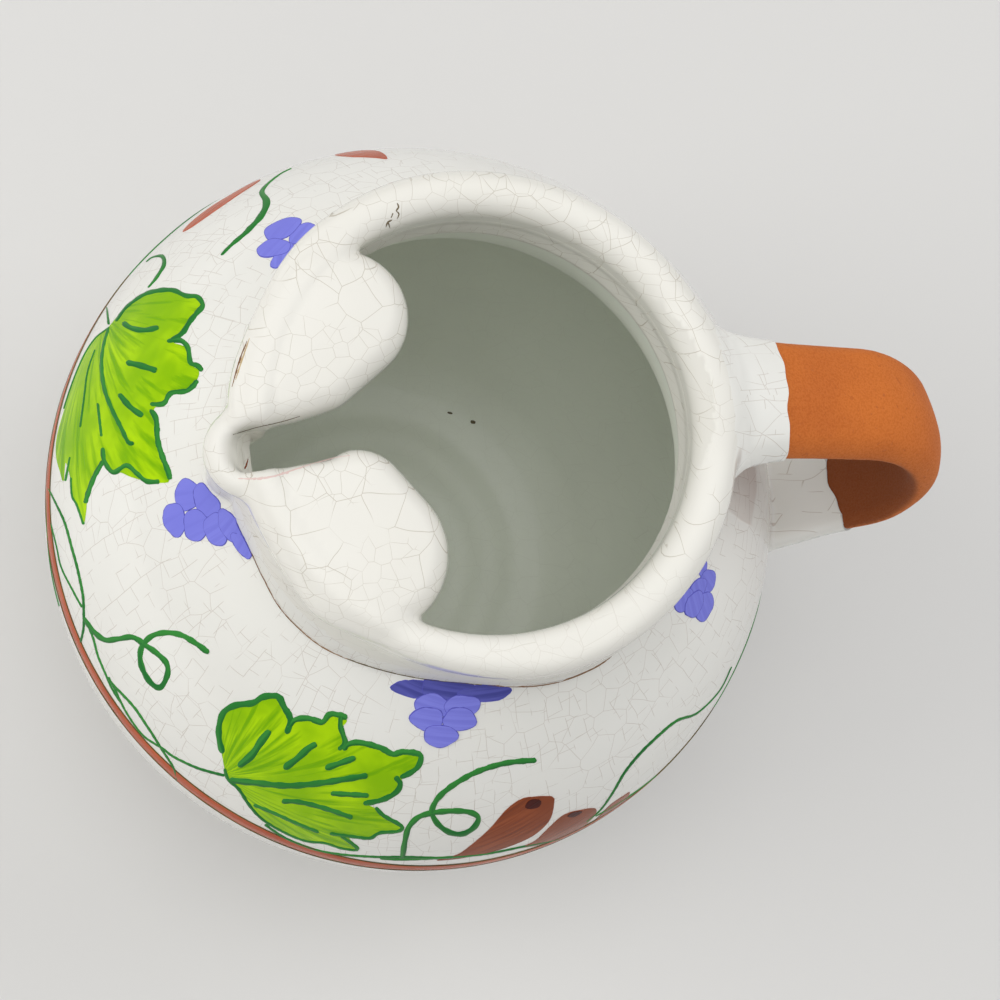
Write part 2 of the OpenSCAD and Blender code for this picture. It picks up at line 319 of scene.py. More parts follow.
def meeting_angle(pin, side):
    """Angle on the bow where a straight run from the pin touches it."""
    d = pin - BOW_C
    return math.atan2(d[1], d[0]) + side * math.acos(BOW_R / np.hypot(*d))


TOP_A = meeting_angle(TOP_PIN, -1.0)
LOW_A = meeting_angle(LOW_PIN, 1.0)

# Radians below the lower meeting where the upper run counts again, and over which the bow's shift ends
BACK_OF_LOOP = 1.4
SHIFT_FADE = 0.7

# The pulled strap's own shape: shifted and narrowed on the bow, spread at its root, bent and crowned across
BOW_SHIFT = 3.4
BOW_NARROWING = 1.3
ROOT_SPREAD = 5.5
ROOT_FADE = 4.5
STRAP_CORNER = 4.0
NEAR_BEND = 0.022
FAR_BEND = 0.003
CROWN = 0.007
STRAP_BURIED = 3.5
STRAP_FROM_X = 20.0

# Height where the handle's upper root starts to flow out over the rim, and how far it takes
ROOT_FLOW_Z = 118.0
ROOT_FLOW_H = 24.0


def strap_frame(x, y, z):
    """Distance off the strap's middle line, distance across it, and angle round the bow."""
    c, s = math.cos(HANDLE_LEAN), math.sin(HANDLE_LEAN)
    drop = z - LEAN_Z
    across = y * c - drop * s
    qx = x - BOW_C[0]
    qz = y * s + drop * c + LEAN_Z - BOW_C[1]
    turn = np.arctan2(qz, qx)
    off = np.hypot(qx, qz) - BOW_R
    top = qx * math.cos(TOP_A) + qz * math.sin(TOP_A) - BOW_R
    low = qx * math.cos(LOW_A) + qz * math.sin(LOW_A) - BOW_R
    on_top = (turn > TOP_A) | (turn < LOW_A - BACK_OF_LOOP)
    off = np.where(on_top, top, np.where(turn < LOW_A, low, off))
    return off, across, turn


def strap(x, y, z, filled, r, thin):
    """The strap handle, thinner all round by thin; filled is the pot's field with no hollow in it."""
    off, across, turn = strap_frame(x, y, z)
    bow = ease((TOP_A - turn) / TOP_A) * ease((turn - LOW_A) / SHIFT_FADE)
    across = across + BOW_SHIFT * bow
    root = np.exp(-np.maximum(filled, 0.0) / ROOT_FADE) * ease((z - ROOT_FLOW_Z) / ROOT_FLOW_H)
    spread = ROOT_SPREAD * root - BOW_NARROWING * bow
    off = off + np.where(across < 0.0, NEAR_BEND, FAR_BEND) * across * across
    a = np.abs(off) - (STRAP_T / 2.0 - STRAP_CORNER) + CROWN * across * across
    b = np.abs(across) - (STRAP_W / 2.0 + spread - STRAP_CORNER)
    rounded = np.hypot(np.maximum(a, 0.0), np.maximum(b, 0.0))
    section = rounded + np.minimum(np.maximum(a, b), 0.0) - STRAP_CORNER
    within_reach = np.maximum(RING_R - r, STRAP_FROM_X - x)
    return np.maximum(np.maximum(section + thin, -filled - STRAP_BURIED), within_reach)


def filled_pot(r, x, y, z):
    """The pot and its rim as if they were solid."""
    body = np.maximum(beyond_wall(r, z, OUTSIDE, OUTSIDE_LEAN), z - NECK_TOP)
    return np.minimum(body, rolled_rim(x, y, z, r))


# Faint ridges that throwing leaves inside the pot: radians for each millimetre, depths, and where they fade
RIDGE_PITCH = 2.0 * math.pi / 8.5
WALL_RIDGE = 0.16
FLOOR_RIDGE = 0.12

RIDGE_TOP = 138.0
RIDGE_FADE = 12.0
RING_FROM_R = 4.0
RING_FADE = 8.0

# Where the shoulder is tucked in under a wall that stands further in: height, and how far that takes
TUCK_Z = 138.5
TUCK_H = 3.5

# Below this height rim and lip keep clear of the hollow by this gap; above it the limit falls away
CLEAR_Z = 146.0
CLEAR_GAP = 1.5
CLEAR_FALL = 20.0
CLEAR_FADE = 8.0

# Radii of the rounded corners where the pieces flow together, and what some of them gain further out or up
FLOOR_CORNER = 10.0
RIM_FILLET = 0.15
RIM_FILLET_GAIN = 0.75
NOTCH_FILLET = 1.5
NOTCH_FILLET_GAIN = 2.5
BEAK_FILLET = 1.8
SLOT_EDGE = 3.0
STRAP_FILLET = 1.8
STRAP_FILLET_GAIN = 3.2


def glazed_pot(x, y, z):
    """The whole pot with its rim, lobes, lip and handle, all flowing together."""
    r = np.hypot(x, y)
    foot = np.interp(np.degrees(np.arctan2(y, x)), TURNS, WALL_FOOT)
    tuck = np.maximum(NECK_R - foot, 0.0) * ease((z - TUCK_Z) / TUCK_H)
    outside = beyond_wall(r + tuck, z, OUTSIDE, OUTSIDE_LEAN)
    fade = ease((RIDGE_TOP - z) / RIDGE_FADE)
    ridges = WALL_RIDGE * fade * np.sin(z * RIDGE_PITCH + 0.6 * np.arctan2(y, x))
    rings = FLOOR_RIDGE * np.sin(r * RIDGE_PITCH) * ease((r - RING_FROM_R) / RING_FADE)
    bore = beyond_wall(r, z, INSIDE, INSIDE_LEAN) + ridges
    hollow = soft_cut(bore, z - FLOOR_T - rings, FLOOR_CORNER)
    clay = np.maximum(np.maximum(outside, -hollow), np.maximum(z - NECK_TOP, -z))
    clear = CLEAR_GAP - hollow - CLEAR_FALL * ease((z - CLEAR_Z) / CLEAR_FADE)
    rim = np.maximum(rolled_rim(x, y, z, r), clear)
    clay = soft_join(clay, rim, RIM_FILLET + RIM_FILLET_GAIN * ease((r - 45.0) / 3.0))
    notch = NOTCH_FILLET + NOTCH_FILLET_GAIN * ease((r - 41.0) / 4.0) * ease((50.0 - r) / 3.0)
    clay = soft_join(clay, lobe(x, y, z, RIGHT_LOBE), notch)
    clay = soft_join(clay, lobe(x, y, z, LEFT_LOBE), notch)
    clay = soft_join(clay, np.maximum(pouring_lip(x, y, z), clear), BEAK_FILLET)
    clay = soft_cut(clay, pouring_slot(x, y, z), SLOT_EDGE)
    blend = STRAP_FILLET + STRAP_FILLET_GAIN * ease((z - ROOT_FLOW_Z) / ROOT_FLOW_H)
    return soft_join(clay, strap(x, y, z, filled_pot(r, x, y, z), r, 0.0), blend)


def bare_strap(x, y, z):
    """The clay of the strap, under the glaze at its ends."""
    r = np.hypot(x, y)
    return strap(x, y, z, filled_pot(r, x, y, z), r, BARE_STEP)


# Turning a field into a skin of quads

# Steps that settle points on the skin, the flattest slope they trust, and the longest move in cells
SETTLE_STEPS = 3
LEAST_SLOPE = 0.2
LONGEST_MOVE = 0.6

EDGES = [(a, b) for a in range(8) for b in range(8) if b > a and bin(a ^ b).count("1") == 1]


def corner_view(grid, c):
    return grid[tuple(slice(1, None) if c >> k & 1 else slice(None, -1) for k in range(3))]


def way_out(field, points, step=0.05):
    """The field's slope at each point, which is square to the skin, and its value there."""
    value = field(*points.T)
    grad = np.empty_like(points)
    for k in range(3):
        ahead, behind = points.copy(), points.copy()
        ahead[:, k] += step
        behind[:, k] -= step
        grad[:, k] = (field(*ahead.T) - field(*behind.T)) / (2.0 * step)
    return grad, value


def to_skin(field, points):
    """How far each point lies off the skin, as a move square to it, and the field's slope there."""
    grad, value = way_out(field, points)
    return grad * (value / np.maximum((grad**2).sum(1), LEAST_SLOPE))[:, None], grad


def skin_of(field, low, high, cell):
    """Points and quads of the surface where the field is nought."""
    axes = [np.arange(a, b + cell, cell) for a, b in zip(low, high)]
    x, y, z = np.meshgrid(*axes, indexing="ij", sparse=True)
    grid = np.broadcast_to(field(x, y, z), [len(a) for a in axes])
    inside = grid < 0.0
    filled = sum(corner_view(inside, c).astype(np.int8) for c in range(8))
    mixed = (filled > 0) & (filled < 8)
    number = np.full(mixed.shape, -1)
    number[mixed] = np.arange(mixed.sum())
    values = [corner_view(grid, c)[mixed] for c in range(8)]
    place = np.zeros((len(values[0]), 3))
    hits = np.zeros(len(place))
    for a, b in EDGES:
        cross = (values[a] < 0.0) != (values[b] < 0.0)
        t = np.where(cross, values[a] / np.where(cross, values[a] - values[b], 1.0), 0.0)
        for k in range(3):
            start, end = a >> k & 1, b >> k & 1
            place[:, k] += np.where(cross, start + t * (end - start), 0.0)
        hits += cross
    points = np.array(low) + (np.argwhere(mixed) + place / hits[:, None]) * cell
    for _ in range(SETTLE_STEPS):
        move = to_skin(field, points)[0]
        points -= np.clip(move, -LONGEST_MOVE * cell, LONGEST_MOVE * cell)
    quads = []
    for k in range(3):
        p, q = (k + 1) % 3, (k + 2) % 3
        head = np.moveaxis(inside, (k, p, q), (0, 1, 2))
        cells = np.moveaxis(number, (k, p, q), (0, 1, 2))
        a, b = head[:-1, 1:-1, 1:-1], head[1:, 1:-1, 1:-1]
        i, j, m = np.nonzero(a != b)
        ring = np.stack([cells[i, j, m], cells[i, j + 1, m], cells[i, j + 1, m + 1], cells[i, j, m + 1]], 1)
        quads.append(np.where(a[i, j, m][:, None], ring, ring[:, ::-1]))
    return points, np.concatenate(quads)


def piece_of(name, points, quads, material):
    """A piece from some of the skin's quads, with only the points that they use."""
    used, back = np.unique(quads, return_inverse=True)
    mesh = bpy.data.meshes.new(name)
    mesh.from_pydata((points[used] * MM).tolist(), [], back.reshape(quads.shape).tolist())
    mesh.materials.append(material)
    piece = bpy.data.objects.new(name, mesh)
    bpy.context.collection.objects.link(piece)
    return piece


def smooth_by(piece, field):
    """Shade the piece by its field's own directions, so that neighbours meet with no seam."""
    mesh = piece.data
    flat = np.empty(len(mesh.vertices) * 3)
    mesh.vertices.foreach_get("co", flat)
    grad, _ = way_out(field, flat.reshape(-1, 3) / MM)
    grad /= np.maximum(np.linalg.norm(grad, axis=1), 1e-6)[:, None]
    mesh.shade_smooth()
    mesh.normals_split_custom_set_from_vertices(grad.tolist())


# Where the glaze stops: at the foot, and on the strap's upper run and low on its bow
UPPER_EDGE_X = 65.4
LOWER_EDGE_A = math.radians(-40.0)

# How far the glaze's edge hollows in across the strap: depth, middle and half width
UPPER_BOW = (1.9, -1.5, 14.0)
LOWER_BOW = (3.0, -8.0, 9.0)
NO_BOW = (0.0, 0.0, 1.0)

# Limits of the skin that each cut may touch, and the cut's height and slant on the upper run
GRIP_FROM_X = 58.0
BEYOND_BELLY_X = 88.5
FOOT_SKIN_H = 12.0
OFF_SLACK = 5.0
ACROSS_SLACK = 5.0
UPPER_EDGE_Z = 159.0
UPPER_SLANT = -0.05
LOWER_EDGE_Y = -8.0
UPPER_FROM_A = math.radians(8.0)
TURNED_IN = 1.6 * GLAZE_T

# Waves of the dipped edge across the strap: height, radians for each millimetre, and start
DIP_WAVES = ((0.5, 0.36, 0.0), (0.22, 0.95, 1.0))


def sway(bm, way, amount, bow):
    """Lean the skin along a cut by a gentle wave and bow, so that the cut is as uneven as a dipped edge."""
    level = Vector((way[0], 0.0, way[2])).normalized() * amount * MM
    depth, middle, half = bow
    for v in bm.verts:
        y = v.co.y / MM
        wave = sum(height * math.sin(pace * y + start) for height, pace, start in DIP_WAVES)
        v.co += level * (wave - depth * max(0.0, 1.0 - ((y - middle) / half) ** 2))


def put_in_order(bm, mesh):
    """Give the mesh the cut skin with its points and faces numbered by place, the same on each run."""
    bm.verts.index_update()
    places = np.array([tuple(v.co) for v in bm.verts])
    order = np.lexsort(places.T)
    rank = np.argsort(order)
    faces = sorted([int(rank[v.index]) for v in face.verts] for face in bm.faces)
    mesh.clear_geometry()
    mesh.from_pydata(places[order].tolist(), [], faces)


def trim_glaze(piece):
    """Cut the glaze off the foot and the grip, and turn its edges in."""
    bm = bmesh.new()
    bm.from_mesh(piece.data)
    middles = np.array([tuple(face.calc_center_median()) for face in bm.faces]) / MM
    off, across, turn = strap_frame(*middles.T)
    on_strap = (np.abs(off) < STRAP_T / 2.0 + OFF_SLACK) & (np.abs(across) < STRAP_W / 2.0 + ACROSS_SLACK)
    on_strap &= middles[:, 0] > GRIP_FROM_X
    upper = on_strap & (turn > UPPER_FROM_A)
    lower = on_strap & (turn <= UPPER_FROM_A) & (middles[:, 0] > BEYOND_BELLY_X)
    top_way = (math.sin(TOP_A), UPPER_SLANT, -math.cos(TOP_A))
    low_way = (-math.sin(LOWER_EDGE_A), 0.0, math.cos(LOWER_EDGE_A))
    low_x = BOW_C[0] + BOW_R * math.cos(LOWER_EDGE_A)
    low_z = BOW_C[1] + BOW_R * math.sin(LOWER_EDGE_A)
    cuts = [
        ((UPPER_EDGE_X, 0.0, UPPER_EDGE_Z), top_way, UPPER_BOW, upper),
        ((low_x, LOWER_EDGE_Y, low_z), low_way, LOWER_BOW, lower),
        ((0.0, 0.0, BARE_FOOT_H), (0.0, 0.0, -1.0), NO_BOW, middles[:, 2] < FOOT_SKIN_H),
    ]
    bm.faces.ensure_lookup_table()
    groups = [[bm.faces[i] for i in np.nonzero(chosen)[0]] for _, _, _, chosen in cuts]
    for (at, way, bow, _), chosen in zip(cuts, groups):
        faces = [face for face in chosen if face.is_valid]
        sway(bm, way, -1.0, bow)
        parts = set(faces)
        for face in faces:
            parts.update(face.edges)
            parts.update(face.verts)
        place = Vector(at) * MM
        bmesh.ops.bisect_plane(
            bm, geom=list(parts), dist=1e-7, plane_co=place, plane_no=Vector(way), clear_outer=True
        )
        sway(bm, way, 1.0, bow)
    bm.normal_update()
    rim = [e for e in bm.edges if e.is_boundary and not on_seam(e)]
    inward = {v: v.normal.copy() for e in rim for v in e.verts}
    made = bmesh.ops.extrude_edge_only(bm, edges=rim)["geom"]
    fresh = [v for v in made if isinstance(v, bmesh.types.BMVert)]
    for v in fresh:
        old = next(e.other_vert(v) for e in v.link_edges if e.other_vert(v) in inward)
        v.co = old.co - inward[old] * TURNED_IN * MM
    put_in_order(bm, piece.data)
    bm.free()


# The seam between the outside and the rim lies above this height and within this radius
SEAM_Z = 140.0
SEAM_R = 58.0


def on_seam(edge):
    """True for the cut where this piece meets the rim's piece."""
    middle = (edge.verts[0].co + edge.verts[1].co) / 2.0
    return middle.z > SEAM_Z * MM and math.hypot(middle.x, middle.y) < SEAM_R * MM


# Material helpers

def add(tree, kind, at=(0, 0), **settings):
    made = tree.nodes.new(kind)
    made.location = at
    for key, value in settings.items():
        setattr(made, key, value)
    return made


def feed(tree, source, target):
    tree.links.new(source, target)


def new_group(name, takes, gives):
    tree = bpy.data.node_groups.new(name, "ShaderNodeTree")
    for label, kind, value in takes:
        socket = tree.interface.new_socket(label, in_out="INPUT", socket_type=kind)
        socket.default_value = value
    for label, kind in gives:
        tree.interface.new_socket(label, in_out="OUTPUT", socket_type=kind)
    return tree, add(tree, "NodeGroupInput", (-1200, 0)), add(tree, "NodeGroupOutput", (900, 0))


COLOUR, NUMBER = "NodeSocketColor", "NodeSocketFloat"


def span(tree, value, low, high, to_low, to_high, at):
    node = add(tree, "ShaderNodeMapRange", at, interpolation_type="SMOOTHSTEP")
    feed(tree, value, node.inputs["Value"])
    for label, number in zip(("From Min", "From Max", "To Min", "To Max"), (low, high, to_low, to_high)):
        node.inputs[label].default_value = number
    return node.outputs["Result"]


def sums(tree, how, a, b, at):
    node = add(tree, "ShaderNodeMath", at, operation=how)
    for k, value in enumerate((a, b)):
        if isinstance(value, (int, float)):
            node.inputs[k].default_value = value
        else:
            feed(tree, value, node.inputs[k])
    return node.outputs[0]


def blend_colours(tree, amount, a, b, at):
    node = add(tree, "ShaderNodeMix", at, data_type="RGBA")
    for socket, value in ((node.inputs[0], amount), (node.inputs[6], a), (node.inputs[7], b)):
        if isinstance(value, (int, float, tuple)):
            socket.default_value = value
        else:
            feed(tree, value, socket)
    return node.outputs[2]


def noise(tree, place, scale, detail, at):
    node = add(tree, "ShaderNodeTexNoise", at)
    feed(tree, place, node.inputs["Vector"])
    node.inputs["Scale"].default_value = scale
    node.inputs["Detail"].default_value = detail
    return node


# Bricks of the belly's crackle, in metres
BRICK_SIZES = {
    "Scale": 1.0, "Mortar Size": 0.00009, "Mortar Smooth": 0.6, "Brick Width": 0.0058, "Row Height": 0.0041,
}

# Cells to the metre, half width of the line in cells, noise limits where it shows, strength, node's place
CRACK_SIZES = ((155, 0.015, 0.40, 0.49, 1.0, 0), (285, 0.022, 0.43, 0.50, 0.75, -300))

# In metres: where the crackle calms down on the near rim, and where the neck's wall is matt
CALM_NEAR = (-0.042, -0.026)
MATT_FROM = (0.1405, 0.1435)
MATT_TO = (0.158, 0.1675)
MATT_WITHIN = (0.055, 0.059)


def crackle_group():
    """Crazed glaze: long fine cracks, shorter ones between them, a faint unevenness and a matt crease."""
    tree, takes, gives = new_group(
        "crackled_glaze",
        [("Glaze", COLOUR, (0.8, 0.8, 0.75, 1)), ("Stain", COLOUR, (0.3, 0.26, 0.2, 1)),
         ("Cracks", NUMBER, 0.5), ("Gloss", NUMBER, 0.1), ("Bricks", NUMBER, 0.0)],
        [("Color", COLOUR), ("Roughness", NUMBER), ("Height", NUMBER)],
    )
    place = add(tree, "ShaderNodeTexCoord", (-1900, -300)).outputs["Object"]
    parts = add(tree, "ShaderNodeSeparateXYZ", (-1700, -200))
    feed(tree, place, parts.inputs[0])
    back_x = sums(tree, "MULTIPLY", parts.outputs["X"], -1.0, (-1500, -100))
    back_y = sums(tree, "MULTIPLY", parts.outputs["Y"], -1.0, (-1500, -250))
    round_pot = sums(tree, "ARCTAN2", back_y, back_x, (-1350, -150))
    x_square = sums(tree, "POWER", parts.outputs["X"], 2.0, (-1500, -400))
    y_square = sums(tree, "POWER", parts.outputs["Y"], 2.0, (-1500, -550))
    out_r = sums(tree, "SQRT", sums(tree, "ADD", x_square, y_square, (-1350, -450)), 0.0, (-1200, -450))
    rise = sums(tree, "SUBTRACT", parts.outputs["Z"], BELLY_H * MM, (-1350, -650))
    up_pot = sums(tree, "ARCTAN2", rise, out_r, (-1100, -550))
    rolled = add(tree, "ShaderNodeCombineXYZ", (-900, -100))
    feed(tree, sums(tree, "MULTIPLY", round_pot, 0.072, (-1050, -100)), rolled.inputs["X"])
    feed(tree, sums(tree, "MULTIPLY", up_pot, 0.085, (-1050, -300)), rolled.inputs["Y"])
    flat = add(tree, "ShaderNodeCombineXYZ", (-900, 100))
    climb = sums(tree, "MULTIPLY", parts.outputs["Z"], 0.9, (-1250, 200))
    feed(tree, parts.outputs["X"], flat.inputs["X"])
    feed(tree, sums(tree, "ADD", parts.outputs["Y"], climb, (-1050, 200)), flat.inputs["Y"])
    laid = add(tree, "ShaderNodeMix", (-900, -250), data_type="VECTOR")
    feed(tree, takes.outputs["Bricks"], laid.inputs["Factor"])
    feed(tree, flat.outputs[0], laid.inputs[4])
    feed(tree, rolled.outputs[0], laid.inputs[5])
    wander = noise(tree, place, 60.0, 2.0, (-1000, -500))
    bent = add(tree, "ShaderNodeVectorMath", (-750, -300), operation="MULTIPLY_ADD")
    feed(tree, wander.outputs["Color"], bent.inputs[0])
    bent.inputs[1].default_value = (0.0035, 0.0035, 0.0035)
    feed(tree, laid.outputs[1], bent.inputs[2])
    lines = []
    for scale, width, low, high, strength, y in CRACK_SIZES:
        cells = add(tree, "ShaderNodeTexVoronoi", (-600, y), feature="DISTANCE_TO_EDGE",
                    voronoi_dimensions="2D")
        feed(tree, bent.outputs[0], cells.inputs["Vector"])
        cells.inputs["Scale"].default_value = scale
        cells.inputs["Randomness"].default_value = 0.85
        crack = span(tree, cells.outputs["Distance"], 0.0, width, strength, 0.0, (-400, y))
        kept = noise(tree, place, scale * 0.3, 1.0, (-600, y - 150))
        shown = span(tree, kept.outputs["Fac"], low, high, 0.0, 1.0, (-400, y - 150))
        lines.append(sums(tree, "MULTIPLY", crack, shown, (-200, y)))
    upright = add(tree, "ShaderNodeMapping", (-600, -600))
    feed(tree, bent.outputs[0], upright.inputs["Vector"])
    upright.inputs["Rotation"].default_value = (0.0, 0.0, math.radians(84.0))
    bricks = add(tree, "ShaderNodeTexBrick", (-400, -600), offset=0.37, offset_frequency=2)
    feed(tree, upright.outputs[0], bricks.inputs["Vector"])
    for label, value in BRICK_SIZES.items():
        bricks.inputs[label].default_value = value
    kept = noise(tree, place, 190.0, 1.0, (-400, -900))
    shown = span(tree, kept.outputs["Fac"], 0.46, 0.54, 0.0, 0.9, (-200, -900))
    courses = sums(tree, "MULTIPLY", bricks.outputs["Fac"], shown, (-50, -600))
    second = add(tree, "ShaderNodeMix", (100, -400), data_type="FLOAT")
    feed(tree, takes.outputs["Bricks"], second.inputs[0])
    feed(tree, lines[1], second.inputs[2])
    feed(tree, courses, second.inputs[3])
    cracks = sums(tree, "MAXIMUM", lines[0], second.outputs[0], (250, -100))
    cloud = noise(tree, place, 30.0, 3.0, (-600, -700))
    tone = span(tree, cloud.outputs["Fac"], 0.3, 0.7, 0.0, 0.1, (-400, -700))
    glaze = blend_colours(tree, tone, takes.outputs["Glaze"], (0.66, 0.63, 0.54, 1.0), (0, 200))
    near_side = span(tree, parts.outputs["Y"], *CALM_NEAR, 0.35, 1.0, (0, 400))
    calm = sums(tree, "MAXIMUM", near_side, takes.outputs["Bricks"], (150, 400))
    calmer = sums(tree, "MULTIPLY", cracks, calm, (200, 0))
    amount = sums(tree, "MULTIPLY", calmer, takes.outputs["Cracks"], (350, 0))
    colour = blend_colours(tree, amount, glaze, takes.outputs["Stain"], (450, 200))
    feed(tree, colour, gives.inputs["Color"])
    dull = sums(tree, "MULTIPLY", cracks, 0.2, (450, -100))
    above = span(tree, parts.outputs["Z"], *MATT_FROM, 0.0, 0.5, (250, -800))
    below = span(tree, parts.outputs["Z"], *MATT_TO, 1.0, 0.0, (250, -1000))
    near = span(tree, out_r, *MATT_WITHIN, 1.0, 0.0, (250, -1200))
    crease = sums(tree, "MULTIPLY", above, sums(tree, "MULTIPLY", below, near, (450, -1000)), (600, -800))
    matt = sums(tree, "ADD", dull, crease, (550, -200))
    feed(tree, sums(tree, "ADD", matt, takes.outputs["Gloss"], (700, -100)), gives.inputs["Roughness"])
    ripple = sums(tree, "MULTIPLY", cloud.outputs["Fac"], 0.6, (450, -500))
    feed(tree, sums(tree, "SUBTRACT", ripple, cracks, (650, -300)), gives.inputs["Height"])
    return tree


def clay_group():
    """Fired red clay: cloudy tone, fine speckle, a dry open grain, and faces turned into the handle's loop
    darkened by soil and painted shade.
    """
    tree, takes, gives = new_group(
        "red_clay_grain",
        [("Light clay", COLOUR, (0.6, 0.2, 0.08, 1)), ("Dark clay", COLOUR, (0.4, 0.1, 0.04, 1)),
         ("Soiled and shaded clay", COLOUR, (0.2, 0.06, 0.02, 1)), ("Soil and shade in the loop", NUMBER, 0.0)],
        [("Color", COLOUR), ("Roughness", NUMBER), ("Height", NUMBER)],
    )
    place = add(tree, "ShaderNodeTexCoord", (-1200, -300)).outputs["Object"]
    cloud = noise(tree, place, 38.0, 3.0, (-900, 0))
    fine = noise(tree, place, 2200.0, 2.0, (-900, -250))
    speck = noise(tree, place, 900.0, 0.0, (-900, -500))
    tone = span(tree, cloud.outputs["Fac"], 0.35, 0.68, 0.0, 0.35, (-600, 0))
    grain = span(tree, fine.outputs["Fac"], 0.4, 0.7, 0.0, 0.3, (-600, -250))
    dots = span(tree, speck.outputs["Fac"], 0.74, 0.8, 0.0, 0.5, (-600, -500))
    first = sums(tree, "ADD", tone, grain, (-350, 0))
    dark = sums(tree, "MAXIMUM", first, dots, (-150, 0))
    clay = blend_colours(tree, dark, takes.outputs["Light clay"], takes.outputs["Dark clay"], (200, 200))
    # Faces turned into the handle's loop go darker: partly soil on the grip, partly painted shade where the
    # upper strap shades the loop.
    surface = add(tree, "ShaderNodeNewGeometry", (-900, 600))
    inwards = add(tree, "ShaderNodeVectorMath", (-600, 600), operation="SUBTRACT")
    inwards.inputs[0].default_value = (BOW_C[0] * MM, 0.0, BOW_C[1] * MM)
    feed(tree, surface.outputs["Position"], inwards.inputs[1])
    level = add(tree, "ShaderNodeVectorMath", (-400, 600), operation="MULTIPLY")
    feed(tree, inwards.outputs[0], level.inputs[0])
    level.inputs[1].default_value = (1.0, 0.0, 1.0)
    straight = add(tree, "ShaderNodeVectorMath", (-200, 600), operation="NORMALIZE")
    feed(tree, level.outputs[0], straight.inputs[0])
    facing = add(tree, "ShaderNodeVectorMath", (0, 600), operation="DOT_PRODUCT")
    feed(tree, straight.outputs[0], facing.inputs[0])
    feed(tree, surface.outputs["Normal"], facing.inputs[1])
    hollow = span(tree, facing.outputs["Value"], -0.1, 0.75, 0.0, 1.0, (200, 600))
    soil_and_shade = sums(tree, "MULTIPLY", hollow, takes.outputs["Soil and shade in the loop"], (400, 600))
    colour = blend_colours(tree, soil_and_shade, clay, takes.outputs["Soiled and shaded clay"], (600, 200))
    feed(tree, colour, gives.inputs["Color"])
    rough = span(tree, fine.outputs["Fac"], 0.3, 0.7, 0.72, 0.92, (200, -150))
    feed(tree, rough, gives.inputs["Roughness"])
    feed(tree, sums(tree, "SUBTRACT", fine.outputs["Fac"], dots, (200, -350)), gives.inputs["Height"])
    return tree


def brush_group():
    """Brushed colour: streaks along the stroke where it went on thick or thin."""
    tree, takes, gives = new_group(
        "brushed_colour",
        [("Thin", COLOUR, (0.5, 0.5, 0.5, 1)), ("Thick", COLOUR, (0.2, 0.2, 0.2, 1)),
         ("Streaks", NUMBER, 0.6)],
        [("Color", COLOUR), ("Roughness", NUMBER), ("Height", NUMBER)],
    )
    laid_on = add(tree, "ShaderNodeUVMap", (-1200, -300), uv_map="brush").outputs["UV"]
    long_way = add(tree, "ShaderNodeMapping", (-1000, -300))
    feed(tree, laid_on, long_way.inputs["Vector"])
    long_way.inputs["Scale"].default_value = (0.05, 0.9, 1.0)
    streak = noise(tree, long_way.outputs[0], 1.0, 4.0, (-750, -100))
    place = add(tree, "ShaderNodeTexCoord", (-1200, -600)).outputs["Object"]
    cloud = noise(tree, place, 75.0, 3.0, (-750, -500))
    lines = span(tree, streak.outputs["Fac"], 0.36, 0.66, 0.0, 1.0, (-500, -100))
    blotch = span(tree, cloud.outputs["Fac"], 0.35, 0.68, 0.0, 0.7, (-500, -500))
    in_lines = sums(tree, "MULTIPLY", lines, takes.outputs["Streaks"], (-250, -100))
    in_blotches = sums(tree, "MULTIPLY", blotch, takes.outputs["Streaks"], (-250, -400))
    thick = sums(tree, "MAXIMUM", in_lines, in_blotches, (0, -200))
    colour = blend_colours(tree, thick, takes.outputs["Thin"], takes.outputs["Thick"], (300, 100))
    feed(tree, colour, gives.inputs["Color"])
    rough = span(tree, streak.outputs["Fac"], 0.3, 0.7, 0.14, 0.3, (300, -150))
    feed(tree, rough, gives.inputs["Roughness"])
    feed(tree, sums(tree, "MULTIPLY", streak.outputs["Fac"], 1.0, (300, -350)), gives.inputs["Height"])
    return tree


# The glaze shines; the painted colours are duller
GLAZE_IOR = 1.65
PAINT_IOR = 1.14


def finish(name, group, bump, depth, colours, numbers):
    """A material that takes its colour, gloss and relief from one shared group."""
    made = bpy.data.materials.new(name)
    made.use_nodes = True
    tree = made.node_tree
    shader = tree.nodes["Principled BSDF"]
    look = add(tree, "ShaderNodeGroup", (-500, 200), node_tree=group)
    for label, colour in colours.items():
        look.inputs[label].default_value = (*colour, 1.0)
    for label, number in numbers.items():
        look.inputs[label].default_value = number
    relief = add(tree, "ShaderNodeBump", (-250, -150))
    relief.inputs["Strength"].default_value = bump
    relief.inputs["Distance"].default_value = depth * MM
    feed(tree, look.outputs["Height"], relief.inputs["Height"])
    if group is BRUSH:
        shader.inputs["IOR"].default_value = PAINT_IOR
    if group is CRACKLE:
        shader.inputs["IOR"].default_value = GLAZE_IOR
    feed(tree, look.outputs["Color"], shader.inputs["Base Color"])
    feed(tree, look.outputs["Roughness"], shader.inputs["Roughness"])
    feed(tree, relief.outputs["Normal"], shader.inputs["Normal"])
    return made


